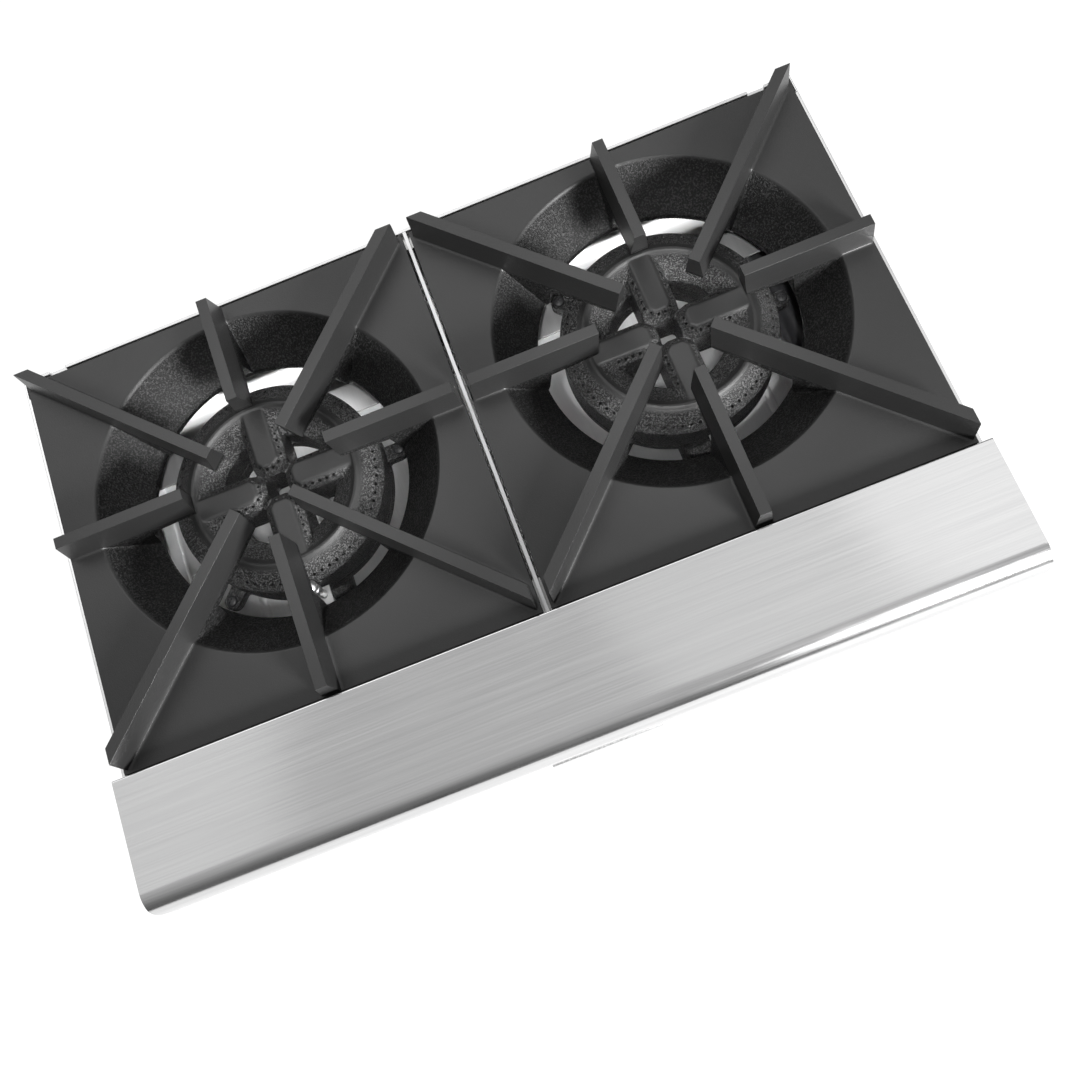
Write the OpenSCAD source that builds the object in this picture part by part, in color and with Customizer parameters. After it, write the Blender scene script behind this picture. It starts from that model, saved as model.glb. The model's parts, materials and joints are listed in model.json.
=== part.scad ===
/* [Body] */
// Width over the two side panels
body_w = 610; // [580:1:700]
// Height of the grate plates' top above the body's underside
body_h = 206; // [190:1:260]
// Thickness of the stainless sheet
sheet = 1.2; // [0.8:0.1:1.6]
// Clear height under the body
leg_h = 102; // [90:1:150]
// How far the side panels' top edge lies below the grate plates
side_drop = 2.5; // [1:0.5:6]
// Strip left between the grates and the back of the body
rear_strip = 5; // [3:0.5:12]
// Width of the folded flanges
flange = 16; // [12:1:24]

/* [Front ledge] */
// How far each end of the ledge stands out past its side panel
ledge_side = 2; // [1:0.5:4]
// Depth of the landing ledge, front to back
ledge_d = 91; // [80:1:130]
// How far the ledge stands above the grate plates
ledge_rise = 9; // [0:0.5:16]
// Gap between the ledge and the grates
ledge_gap = 1.6; // [1:0.1:4]
// How far the ledge hangs over the control panel
ledge_over = 46.6; // [40:0.1:60]
// Radius of the rounded nose
nose_r = 18; // [12:1:24]
// Straight drop below the rounded nose
nose_drop = 12; // [6:1:20]
// Radius of the ledge's front corners, seen from above
corner_r = 5; // [3:0.5:12]

/* [Grates] */
// Depth of one grate, front to back
grate_d = 302; // [296:1:340]
// Gap between the two grates
grate_gap = 6; // [5:0.5:10]
// Side clearance between a grate and the folded panel edge
grate_clear = 0.6; // [0.4:0.1:2]
// Thickness of the plate at its rim
rim_t = 8; // [6:0.5:12]
// Thickness of the plate inside its rim
field_t = 5; // [4:0.5:6]
// Width of the thick rim
rim_w = 6; // [5:0.5:6]
// Plate left between the bowl and the grate's rear edge
bowl_margin = 12.1; // [10:0.1:19]
// Radius of the opening at the foot of the bowl
opening_r = 96; // [92:0.5:100]
// Depth of the bowl below the plate
bowl_drop = 32; // [26:1:34]
// Wall of the bowl
bowl_wall = 5; // [4:0.5:6]
// How far the bowl's middle lies behind the plate's middle
bowl_back = 13.4; // [0:0.1:14]
// Height of the ribs above the plate
rib_h = 22; // [16:1:30]
// Width of a rib at its top
rib_top_w = 8; // [6:0.5:10]
// Width of a rib where it meets the plate
rib_base_w = 13; // [11:0.5:16]
// Small bevel along a rib's top edges
rib_bevel = 0.8; // [0.4:0.1:1.5]
// Distance from the bowl's middle to the tips of the straight ribs
mid_tip_r = 52.5; // [46:0.5:70]
// Distance from the bowl's middle to the tips of the corner ribs
corner_tip_r = 33; // [30:0.5:44]
// How far the corner ribs' lines meet in front of the bowl's middle
corner_lead = 6; // [0:0.5:8]
// Distance kept between the ribs' outer ends and the plate's edges
rib_inset = 3; // [2:0.5:8]

/* [Burners] */
// How far the burner's ridge lies below the grate plates
burner_drop = 17; // [15:0.5:20]
// Outer radius of the burner ring
ring_r = 79; // [72:0.5:80]
// Radius of the ridge between the two slopes
ridge_r = 61; // [58:0.5:64]
// Inner radius of the burner ring
ring_in_r = 42; // [40:0.5:46]
// Wall of the burner castings
cast_wall = 5; // [4:0.5:6]
// Height of the burner head casting, below the ridge
head_h = 34; // [30:1:40]
// Height of the burner base casting
base_h = 12; // [10:1:16]
// Drop of the outer bevel, from the ridge to the outer wall
bevel_drop = 10; // [8:0.5:12]
// Width of an arm's flat top
arm_top_w = 15; // [12:0.5:18]
// Width and depth of the slope along an arm's sides
arm_bevel = 6; // [4:0.5:8]
// Width of the square gap in the middle of the burner
gap_w = 16; // [12:0.5:20]
// Length of the slope at an arm's tip
tip_bevel = 12; // [8:0.5:14]
// Number of flame ports round the ring
port_count = 74; // [40:1:80]
// Diameter of a flame port
port_d = 2.4; // [2:0.1:3]
// Number of flame ports along each side of an arm
arm_port_count = 5; // [3:1:6]
// Distance between the flame ports of an arm
arm_port_pitch = 6.5; // [5:0.5:7]
// Outer radius of the mixer tube
mixer_r = 17; // [15:0.5:18]
// Wall of the mixer tube
mixer_wall = 2.5; // [2:0.5:4]
// Distance of the mixer tube's middle below the ring's base
mixer_drop = 16; // [16:0.5:20]
// Length of the rotating air shutter
shutter_l = 16; // [12:1:18]
// How far a burner lifts off its rests
burner_lift = 9; // [6:1:9]

/* [Gas line] */
// Outer radius of the gas pipe
pipe_r = 13.35; // [10:0.05:14]
// Wall of the gas pipe
pipe_wall = 2.9; // [2:0.1:3.5]
// Height between a valve's middle and the pipe's middle
valve_rise = 30; // [28:1:34]
// How far the gas inlet stands out of the back
inlet_out = 30; // [20:1:60]
// Distance of the gas inlet from the outside of the right panel
inlet_in = 43; // [39:1:65]
// Radius of a valve stem
stem_r = 4; // [3:0.5:5]
// Sideways distance from a burner to its pilot valve
pilot_valve_x = 48; // [44:1:56]
// Outer radius of the pilot tube
pilot_tube_r = 3; // [2:0.25:3.5]
// How far the middle of the pilot's round tip lies below the grate plates
pilot_drop = 15; // [15:0.5:18]
// Radius of the pilot's round tip
pilot_tip_r = 4.5; // [4:0.25:5]

/* [Knobs] */
// Radius of a knob's skirt
knob_r = 27; // [22:1:30]
// Length of a knob
knob_l = 30; // [24:1:32]
// Width of a knob's grip bar
grip_w = 13; // [10:1:16]
// Gap between the panel's bezel and a knob
knob_gap = 1; // [0.5:0.5:2]

/* [Drip tray] */
// Height of the tray's walls
tray_h = 28; // [20:1:32]
// Gap between the tray's back wall and the rear panel
tray_back_gap = 14; // [8:1:30]
// Width of the tray's pull
pull_w = 96; // [70:1:140]
// How far the pull stands in front of the control panel
pull_out = 41.5; // [25:0.5:45]

/* [Feet] */
// Distance of a leg's middle from the outside of its side panel
leg_inset_x = 43; // [30:1:65]
// Distance of a leg's middle from the panel in front of it or behind it
leg_inset_y = 24; // [22:1:28]
// Radius of a leg at its top
leg_r = 19; // [16:0.5:22]
// Radius of a foot's pad
foot_r = 17; // [14:0.5:20]
// Radius of a foot's stem
foot_stem_r = 8; // [6:0.5:9]
// Height of a foot below its leg, screwed in
foot_h = 26; // [20:1:32]
// How far a foot screws out
foot_travel = 25; // [10:1:30]

/* [Fits] */
// Running clearance between a turning piece and its bore
run_clear = 0.05; // [0.02:0.01:0.1]
// Clearance of a fixed piece in its hole
fix_clear = 0.1; // [0.05:0.05:0.3]
// Radius of a panel screw
screw_r = 2; // [1.5:0.25:2.5]

/* [Hidden] */
$fn = 64;
left = -1;
right = 1;
front = -1;
rear = 1;
// A cut reaches this far past the face it opens
past = 1;
pipe_fn = 48;
small_fn = 24;

// Places along Y, from the ledge's nose to the inlet's end
total_d = ledge_d + ledge_gap + grate_d + rear_strip + inlet_out;
front_y = -total_d / 2;
ledge_rear_y = front_y + ledge_d;
plate_front_y = ledge_rear_y + ledge_gap;
plate_rear_y = plate_front_y + grate_d;
rear_y = plate_rear_y + rear_strip;
panel_y = front_y + ledge_over;
baffle_in = 24;
baffle_y = plate_front_y + baffle_in;
bowl_r = grate_d / 2 - bowl_back - bowl_margin;
burner_y = (plate_front_y + plate_rear_y) / 2 + bowl_back;

// Places along X
half_w = body_w / 2;
wall_x = half_w - sheet;
hem_x = half_w - 2 * sheet;
ledge_w = body_w + 2 * ledge_side;
inlet_x = half_w - inlet_in;
leg_x = half_w - leg_inset_x;
grate_w = hem_x - grate_clear - grate_gap / 2;
grate_x = grate_gap / 2 + grate_w / 2;

// Heights
plate_z = leg_h + body_h;
side_top_z = plate_z - side_drop;
seat_z = plate_z - rim_t;
ledge_z = plate_z + ledge_rise;
ledge_under_z = ledge_z - sheet;
nose_z = ledge_z - nose_r - nose_drop;
floor_z = leg_h + sheet;
rail_t = 3;
rail_z = floor_z + rail_t;
runner_t = 1.5;
runner_gap = 3.8;
runner_z = rail_z + runner_gap;
tray_z = runner_z + runner_t;
panel_gap = 10.5;
panel_low_z = tray_z + tray_h + panel_gap;
ridge_z = plate_z - burner_drop;
head_low_z = ridge_z - head_h;
base_low_z = head_low_z - base_h;
mixer_z = base_low_z - mixer_drop;
pipe_z = mixer_z - valve_rise;

// Valves, mixers and pilots, measured back from the control panel
valve_front = 6;
valve_l = 32;
valve_w = 26;
valve_y = panel_y + sheet + valve_front;
valve_rear_y = valve_y + valve_l;
pipe_y = valve_y + valve_l / 2;
mouth_y = valve_rear_y + 10;
boss_front_y = burner_y - ring_r - 15;
boss_r = mixer_r + 3;
boss_depth = 30;
orifice_r = 6;
orifice_l = 16;
inlet_stub_r = 6;
elbow_seat = pipe_r + 0.65;
stub_z = pipe_z + pipe_r - pipe_wall - 2;
shutter_wall = 1.5;

// The burner's arms
arm_top_z = ridge_z - 1;
arm_half_w = arm_top_w / 2 + arm_bevel;
arm_end = ridge_r - 2;
ear_angles = [0, 135, 225];
ear_w = 12;
ear_r = ring_r + 10.5;
ear_t = 5;

// The pilot's place beside the ring
pilot_x = 4;
pilot_y = burner_y - ring_r - pilot_tip_r - 1.5;
pilot_z = plate_z - pilot_drop;
pilot_low_z = mixer_z + boss_r + burner_lift + 1.5 + pilot_tube_r;

leg_y_front = panel_y + sheet + leg_inset_y;
leg_y_rear = rear_y - sheet - leg_inset_y;
bolt_r = 4;
screw_head_r = 4;
screw_head_h = 1.8;
bolt_l = 14;
screw_low = 40;
screw_high = 43.5;
side_screw_z = [leg_h + screw_low, side_top_z - screw_high];
side_screw_y = [panel_y + sheet + flange / 2, rear_y - sheet - flange / 2];

steel = [0.76, 0.77, 0.78];
cast = [0.2, 0.2, 0.21];
chrome = [0.86, 0.87, 0.88];
brass = [0.78, 0.64, 0.34];
pipe_black = [0.12, 0.12, 0.13];
tube_grey = [0.55, 0.56, 0.57];
knob_black = [0.07, 0.07, 0.08];

// A block between two corners
module block(low, high) {
  translate(low) cube(high - low);
}

// A flat outline drawn in Y and Z, as thick as x1 - x0
module side_plate(x0, x1) {
  translate([x0, 0, 0]) rotate([90, 0, 90]) linear_extrude(x1 - x0) children();
}

// A flat outline drawn in X and Z, as thick as y1 - y0
module front_plate(y0, y1) {
  translate([0, y1, 0]) rotate([90, 0, 0]) linear_extrude(y1 - y0) children();
}

// A rod along Y
module rod_y(y0, y1, r, fn = pipe_fn) {
  translate([0, y1, 0]) rotate([90, 0, 0]) cylinder(h = y1 - y0, r = r, $fn = fn);
}

// A rod along X
module rod_x(x0, x1, r, fn = pipe_fn) {
  translate([x0, 0, 0]) rotate([0, 90, 0]) cylinder(h = x1 - x0, r = r, $fn = fn);
}

// Side panel: outer sheet, folded top edge and bottom flange
module side_panel(side) {
  cheek_y = front_y + nose_r + 2;
  mirror([side == left ? 1 : 0, 0, 0]) color(steel) difference() {
    union() {
      side_plate(wall_x, half_w) polygon([
        [rear_y, leg_h], [rear_y, side_top_z], [ledge_rear_y, side_top_z], [ledge_rear_y, ledge_under_z],
        [cheek_y, ledge_under_z], [cheek_y, nose_z - 4], [panel_y, mixer_z - knob_r], [panel_y, leg_h]]);
      block([hem_x, plate_front_y, side_top_z - 10], [wall_x, rear_y - flange, side_top_z]);
      block([wall_x - flange, panel_y + sheet, leg_h], [wall_x, rear_y - sheet, leg_h + sheet]);
    }
    for (y = side_screw_y, z = side_screw_z) {
      translate([0, y, z]) rod_x(wall_x - past, half_w + past, screw_r + fix_clear, small_fn);
    }
  }
}

// Rear panel: folded top edge with two notches, air slots and the hole for the gas inlet
module rear_panel() {
  notch_w = 13;
  notch_x = half_w - 27;
  slot_w = 60;
  slot_h = 8;
  slot_pitch = 84;
  color(steel) difference() {
    union() {
      block([-wall_x, rear_y - sheet, leg_h + sheet], [wall_x, rear_y, side_top_z]);
      block([-hem_x, rear_y - 2 * sheet, seat_z], [hem_x, rear_y - sheet, side_top_z]);
      for (side = [left, right]) mirror([side == left ? 1 : 0, 0, 0]) {
        block([hem_x, rear_y - flange, leg_h + 2 * flange], [wall_x, rear_y - sheet, side_top_z - 2 * flange]);
      }
    }
    for (i = [-2:2], row = [0:2]) {
      translate([i * slot_pitch, 0, leg_h + 90 + row * 24]) {
        front_plate(rear_y - sheet - past, rear_y + past) union() {
          square([slot_w - slot_h, slot_h], center = true);
          for (end = [-1, 1]) translate([end * (slot_w - slot_h) / 2, 0]) circle(d = slot_h);
        }
      }
    }
    for (x = [-notch_x, notch_x]) {
      block([x - notch_w / 2, rear_y - 2 * sheet - past, side_top_z - 3],
        [x + notch_w / 2, rear_y + past, side_top_z + past]);
    }
    translate([inlet_x, 0, pipe_z]) rod_y(rear_y - sheet - past, rear_y + past, pipe_r + 1);
    for (side = [left, right], z = side_screw_z) mirror([side == left ? 1 : 0, 0, 0]) {
      translate([0, side_screw_y[1], z]) rod_x(hem_x - past, wall_x + past, screw_r + fix_clear, small_fn);
    }
  }
}

// Control panel, hung from the ledge, with the valve and pilot holes
module control_panel() {
  hole_r = stem_r + 3;
  color(steel) difference() {
    union() {
      block([-wall_x, panel_y, panel_low_z], [wall_x, panel_y + sheet, ledge_under_z]);
      block([-hem_x, panel_y + sheet, ledge_under_z - sheet], [hem_x, panel_y + sheet + flange, ledge_under_z]);
      block([-hem_x, panel_y + sheet, panel_low_z], [hem_x, panel_y + sheet + flange / 2, panel_low_z + sheet]);
      for (side = [left, right]) mirror([side == left ? 1 : 0, 0, 0]) {
        block([hem_x, panel_y + sheet, leg_h + 2 * sheet + rail_t], [wall_x, panel_y + sheet + flange, ledge_under_z]);
      }
    }
    for (side = [left, right]) {
      translate([side * grate_x, 0, mixer_z]) rod_y(panel_y - past, panel_y + sheet + past, hole_r);
      translate([side * grate_x + pilot_valve_x, 0, mixer_z]) {
        rod_y(panel_y - past, panel_y + sheet + past, 4, small_fn);
      }
      mirror([side == left ? 1 : 0, 0, 0]) for (z = side_screw_z) {
        translate([0, side_screw_y[0], z]) rod_x(hem_x - past, wall_x + past, screw_r + fix_clear, small_fn);
      }
    }
  }
}

// The ledge's outline in Y and Z, drawn in by the sheet's thickness where asked
module ledge_outline(inner) {
  nose = nose_r - inner;
  nose_mid_y = front_y + nose_r;
  nose_mid_z = ledge_z - nose_r;
  low_z = nose_z + inner;
  translate([nose_mid_y, nose_mid_z]) intersection() {
    circle(r = nose);
    translate([-nose, 0]) square(nose);
  }
  polygon([[front_y + inner, nose_mid_z], [front_y + inner, low_z], [ledge_rear_y - inner, low_z],
    [ledge_rear_y - inner, ledge_z - inner], [nose_mid_y, ledge_z - inner], [nose_mid_y, nose_mid_z]]);
}

// Front ledge: a folded sheet with a rounded nose, closed by two end caps
module front_ledge() {
  cap_gap = 0.5;
  cap_t = ledge_side - cap_gap;
  cap_x = ledge_w / 2 - cap_t;
  lip = 15;
  color(steel) intersection() {
    union() {
      difference() {
        side_plate(-cap_x, cap_x) ledge_outline(0);
        side_plate(-cap_x - past, cap_x + past) ledge_outline(sheet);
        block([-cap_x - past, front_y + lip, nose_z - past], [cap_x + past, ledge_rear_y - sheet, nose_z + 2 * sheet]);
        block([-cap_x - past, ledge_rear_y - 2 * sheet, nose_z - past], [cap_x + past, ledge_rear_y + past, seat_z - 4]);
        for (side = [left, right]) mirror([side == left ? 1 : 0, 0, 0]) {
          block([hem_x - 1, ledge_rear_y - 2 * sheet, nose_z - past],
            [cap_x + past, ledge_rear_y + past, ledge_under_z]);
        }
      }
      for (side = [left, right]) mirror([side == left ? 1 : 0, 0, 0]) side_plate(cap_x, ledge_w / 2) ledge_outline(0);
    }
    translate([0, 0, nose_z - past]) linear_extrude(ledge_z - nose_z + 2 * past) ledge_plan();
  }
}

// The ledge seen from above, with its two rounded front corners
module ledge_plan() {
  half = ledge_w / 2;
  translate([-half, front_y + corner_r]) square([ledge_w, ledge_d - corner_r]);
  translate([-half + corner_r, front_y]) square([ledge_w - 2 * corner_r, ledge_d]);
  for (side = [left, right]) translate([side * (half - corner_r), front_y + corner_r]) circle(r = corner_r);
}

// Slot for a mixer tube: a saddle that carries the tube, open above for lifting it
module mixer_slot() {
  r = mixer_r + 0.3;
  translate([0, mixer_z]) circle(r = r);
  translate([0, mixer_z + burner_lift + 2]) circle(r = r);
  translate([-r, mixer_z]) square([2 * r, burner_lift + 2]);
}

// Front baffle: carries the grates' front edge and the mixer tubes
module front_baffle() {
  baffle_drop = 45;
  wing_drop = 14;
  low_z = pipe_z - baffle_drop;
  color(steel) difference() {
    union() {
      block([-hem_x, baffle_y, low_z], [hem_x, baffle_y + sheet, seat_z]);
      block([-hem_x, ledge_rear_y, seat_z - sheet], [hem_x, baffle_y + sheet, seat_z]);
      for (side = [left, right]) mirror([side == left ? 1 : 0, 0, 0]) {
        block([hem_x, baffle_y, low_z], [wall_x, baffle_y + flange, side_top_z - wing_drop]);
      }
    }
    for (side = [left, right]) {
      translate([side * grate_x, 0, 0]) front_plate(baffle_y - past, baffle_y + sheet + past) mixer_slot();
      translate([side * grate_x + pilot_valve_x / 2, 0, pilot_low_z]) {
        rod_y(baffle_y - past, baffle_y + sheet + past, pilot_tube_r + 1.5, small_fn);
      }
    }
    translate([inlet_x, 0, pipe_z]) rod_y(baffle_y - past, baffle_y + sheet + past, pipe_r + 1);
  }
}

// Rear grate rail: carries the grates' back edge
module rear_grate_rail() {
  rail_y = plate_rear_y - rim_w - 3;
  rail_drop = 28;
  rail_low_z = seat_z - rail_drop;
  color(steel) union() {
    block([-hem_x, rail_y, seat_z - sheet], [hem_x, rear_y - sheet, seat_z]);
    block([-hem_x, rail_y, rail_low_z], [hem_x, rail_y + sheet, seat_z]);
  }
}

// Centre divider: a folded strip standing between the grates on the two rails
module centre_divider() {
  strip_w = 2.6;
  web_low_z = seat_z - 15;
  rail_y = plate_rear_y - rim_w - 3;
  color(steel) side_plate(-strip_w / 2, strip_w / 2) polygon([
    [plate_front_y, seat_z], [baffle_y + sheet, seat_z], [baffle_y + sheet, web_low_z], [rail_y, web_low_z],
    [rail_y, seat_z], [rear_y - 2 * sheet, seat_z], [rear_y - 2 * sheet, side_top_z],
    [plate_front_y, side_top_z]]);
}

// Burner support bar: a bent strip from side to side under the rings
module burner_support_bar() {
  bar_t = 2;
  bar_y = burner_y + ridge_r - 12;
  bar_d = 24;
  tab_h = 22;
  color(tube_grey) union() {
    block([-wall_x, bar_y, base_low_z - bar_t], [wall_x, bar_y + bar_d, base_low_z]);
    for (side = [left, right]) mirror([side == left ? 1 : 0, 0, 0]) {
      block([wall_x - bar_t, bar_y, base_low_z - tab_h], [wall_x, bar_y + bar_d, base_low_z]);
    }
  }
}

// Bottom rail that joins the side panels and carries two legs
module bottom_rail(end) {
  rail_w = 2 * leg_inset_y;
  outer_y = end == front ? panel_y + sheet : rear_y - sheet;
  inner_y = outer_y - end * rail_w;
  leg_y = end == front ? leg_y_front : leg_y_rear;
  low_y = min(outer_y, inner_y);
  lip_y = end == front ? inner_y - rail_t : inner_y;
  color(steel) difference() {
    union() {
      block([-hem_x, low_y, floor_z], [hem_x, low_y + rail_w, rail_z]);
      block([-hem_x + flange, lip_y, floor_z], [hem_x - flange, lip_y + rail_t, runner_z - 1]);
    }
    for (side = [left, right]) {
      translate([side * leg_x, leg_y, floor_z - past]) cylinder(h = rail_t + 2 * past, r = bolt_r + 2 * fix_clear);
    }
  }
}

// Tray runner: an angle on the inside of a side panel
module tray_runner(side) {
  runner_w = 14;
  runner_front_y = panel_y + sheet + flange + 2;
  runner_rear_y = rear_y - flange - 4;
  mirror([side == left ? 1 : 0, 0, 0]) color(steel) union() {
    block([wall_x - runner_w, runner_front_y, runner_z], [wall_x, runner_rear_y, tray_z]);
    block([wall_x - runner_t, runner_front_y, runner_z], [wall_x, runner_rear_y, tray_z + 12]);
  }
}

// Drip tray: a folded pan with two pressed beads, a front face and a pull
module drip_tray() {
  tray_x = wall_x - runner_t - 1.5;
  tray_rear_y = rear_y - sheet - tray_back_gap;
  pull_rise = 21.5;
  pull_z = tray_z + pull_rise;
  pull_lip = 10;
  bead_in = 60;
  bead_x = tray_x - bead_in;
  bead_w = 8;
  bead_end = 20;
  color(steel) union() {
    difference() {
      block([-tray_x, panel_y, tray_z], [tray_x, tray_rear_y, tray_z + tray_h]);
      block([-tray_x + sheet, panel_y + sheet, tray_z + sheet],
        [tray_x - sheet, tray_rear_y - sheet, tray_z + tray_h + past]);
    }
    for (x = [-bead_x, bead_x]) {
      block([x - bead_w / 2, panel_y + bead_end, tray_z + sheet], [x + bead_w / 2, tray_rear_y - bead_end, tray_z + 3]);
    }
    block([-tray_x, panel_y - sheet, rail_z], [tray_x, panel_y, panel_low_z - 1]);
    block([-pull_w / 2, panel_y - pull_out, pull_z], [pull_w / 2, panel_y - sheet, pull_z + sheet]);
    block([-pull_w / 2, panel_y - pull_out, pull_z - pull_lip], [pull_w / 2, panel_y - pull_out + sheet, pull_z]);
  }
}

// A rib's cross-section: drafted sides above the plate, straight below it
module rib_section(drop) {
  top = rib_top_w / 2;
  base = rib_base_w / 2;
  polygon([[-base, -drop], [base, -drop], [base, 0], [top + rib_bevel / 4, rib_h - rib_bevel],
    [top - rib_bevel, rib_h], [-top + rib_bevel, rib_h], [-top - rib_bevel / 4, rib_h - rib_bevel], [-base, 0]]);
}

// A rib's side view, from its tip out to its end, following the bowl down
module rib_side(tip, end) {
  tip_slope = 3;
  end_slope = 2;
  sunk = 3;
  finger_low = -8;
  foot = opening_r + bowl_wall;
  polygon([[tip, rib_h], [end, rib_h], [end + end_slope, 0], [end + end_slope, -sunk], [bowl_r + sunk, -sunk],
    [foot, -bowl_drop], [opening_r, -bowl_drop], [opening_r - 2, -bowl_drop + 6], [opening_r - 5, finger_low],
    [tip + tip_slope, finger_low / 2]]);
}

// One rib, lying along +X from its tip
module rib(tip, end) {
  intersection() {
    rotate([90, 0, 90]) linear_extrude(end + 10) rib_section(bowl_drop);
    front_plate(-rib_base_w, rib_base_w) rib_side(tip, end);
  }
}

// Grate: plate, bowl and eight ribs in one casting, drawn about the bowl's middle
module grate() {
  rear_edge = grate_d / 2 - bowl_back;
  front_edge = -grate_d / 2 - bowl_back;
  side_edge = grate_w / 2;
  corner_len = sqrt(2) * grate_d;
  lead = corner_lead / sqrt(2);
  reach = side_edge - rib_inset;
  color(cast) union() {
    difference() {
      block([-side_edge, front_edge, -rim_t], [side_edge, rear_edge, 0]);
      block([-side_edge + rim_w, front_edge + rim_w, -rim_t - past],
        [side_edge - rim_w, rear_edge - rim_w, -field_t]);
      translate([0, 0, -rim_t - past]) cylinder(h = rim_t + 2 * past, r = bowl_r, $fn = 96);
    }
    rotate_extrude($fn = 96) polygon([[opening_r, -bowl_drop], [bowl_r, 0], [bowl_r + 3, 0], [bowl_r + 3, -field_t],
      [bowl_r + 1, -rim_t], [opening_r + bowl_wall, -bowl_drop - bowl_wall], [opening_r, -bowl_drop - bowl_wall]]);
    for (turn = [0, 180]) rotate([0, 0, turn]) rib(mid_tip_r, reach);
    rotate([0, 0, 90]) rib(mid_tip_r, rear_edge - rib_inset);
    rotate([0, 0, 270]) rib(mid_tip_r, -front_edge - rib_inset);
    intersection() {
      translate([0, -corner_lead, 0]) {
        for (turn = [45, 135]) rotate([0, 0, turn]) rib(corner_tip_r + lead, corner_len);
        for (turn = [225, 315]) rotate([0, 0, turn]) rib(corner_tip_r - lead, corner_len);
      }
      block([-reach, front_edge + rib_inset, -bowl_drop], [reach, rear_edge - rib_inset, rib_h]);
    }
  }
}

// The head's ring as a solid: outer bevel, ridge and inner slope
module head_ring() {
  low = -head_h;
  rotate_extrude($fn = 96) polygon([[ring_r, low], [ring_r, -bevel_drop - 1], [ring_r - 1, -bevel_drop],
    [ridge_r + 1, 0], [ridge_r - 1, 0], [ring_in_r + 2, -bevel_drop - 2], [ring_in_r, -bevel_drop - 4],
    [ring_in_r, low]]);
}

// The gas channel inside the head's ring, open below
module head_channel() {
  low = -head_h - past;
  inner_r = ring_in_r + cast_wall;
  outer_r = ring_r - cast_wall;
  rotate_extrude($fn = 96) polygon([[inner_r, low], [inner_r, -bevel_drop - 4], [ridge_r - 1, -cast_wall],
    [ridge_r + 1, -cast_wall], [outer_r, -bevel_drop - 2], [outer_r, low]]);
}

// An arm's cross-section, drawn in by a wall where asked
module arm_section(inner) {
  top = arm_top_w / 2 - inner / 2;
  side = arm_half_w - inner;
  top_z = arm_top_z - ridge_z - inner;
  polygon([[-side, -head_h], [side, -head_h], [side, top_z - arm_bevel], [top, top_z], [-top, top_z],
    [-side, top_z - arm_bevel]]);
}

// An arm's side view, with the slope at its tip
module arm_side() {
  top_z = arm_top_z - ridge_z;
  polygon([[gap_w / 2, -head_h], [gap_w / 2, top_z - tip_bevel], [gap_w / 2 + tip_bevel, top_z], [arm_end, top_z],
    [arm_end, -head_h]]);
}

// One arm, lying along +X towards the middle
module arm() {
  intersection() {
    rotate([90, 0, 90]) linear_extrude(arm_end) arm_section(0);
    front_plate(-arm_half_w, arm_half_w) arm_side();
  }
}

// The gas way inside an arm and through the ring's inner wall
module arm_way() {
  way_start = gap_w / 2 + tip_bevel / 2 + cast_wall;
  translate([way_start, 0, 0]) rotate([90, 0, 90]) linear_extrude(ring_in_r + cast_wall + past - way_start) {
    intersection() {
      arm_section(cast_wall);
      translate([-arm_half_w, -head_h]) square([2 * arm_half_w, head_h - bevel_drop]);
    }
  }
}

// Flame ports: a ring of holes through the outer bevel
module ring_ports() {
  bevel_w = ring_r - 1 - ridge_r - 1;
  slope = atan(bevel_drop / bevel_w);
  port_share = 0.75;
  place_r = ridge_r + 1 + bevel_w * port_share;
  for (i = [0:port_count - 1]) rotate([0, 0, (i + 0.5) * 360 / port_count]) {
    translate([place_r, 0, -bevel_drop * port_share]) rotate([0, 90 - slope, 0]) {
      translate([0, 0, -cast_wall * 2]) cylinder(h = cast_wall * 3, d = port_d, $fn = 16);
    }
  }
}

// Flame ports along both sides of an arm and at its tip
module arm_ports() {
  first = gap_w / 2 + tip_bevel + 1;
  port_y = arm_half_w - arm_bevel / 2;
  port_z = arm_top_z - ridge_z - arm_bevel / 2;
  for (side = [left, right], i = [0:arm_port_count - 1]) {
    translate([first + i * arm_port_pitch, side * port_y, port_z]) rotate([-side * 45, 0, 0]) {
      translate([0, 0, -cast_wall * 2]) cylinder(h = cast_wall * 3, d = port_d, $fn = 16);
    }
  }
}

// Burner head: ring, four arms and three ears for the screws
module burner_head() {
  color(cast) difference() {
    union() {
      head_ring();
      for (turn = [0:90:270]) rotate([0, 0, turn]) arm();
      for (turn = ear_angles) rotate([0, 0, turn]) ear(-head_h, ear_t);
    }
    head_channel();
    for (turn = [0:90:270]) rotate([0, 0, turn]) {
      arm_way();
      arm_ports();
    }
    ring_ports();
    for (turn = ear_angles) rotate([0, 0, turn]) {
      translate([ear_r, 0, -head_h - past]) cylinder(h = ear_t + 2 * past, r = screw_r + fix_clear, $fn = small_fn);
    }
  }
}

// An ear on the outside of a casting, drawn along +X
module ear(low, thick) {
  translate([0, 0, low]) linear_extrude(thick) difference() {
    union() {
      translate([ring_r - cast_wall / 2, -ear_w / 2]) square([ear_r - ring_r + cast_wall / 2, ear_w]);
      translate([ear_r, 0]) circle(d = ear_w);
    }
    circle(r = ring_r - cast_wall / 2, $fn = 96);
  }
}

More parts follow.
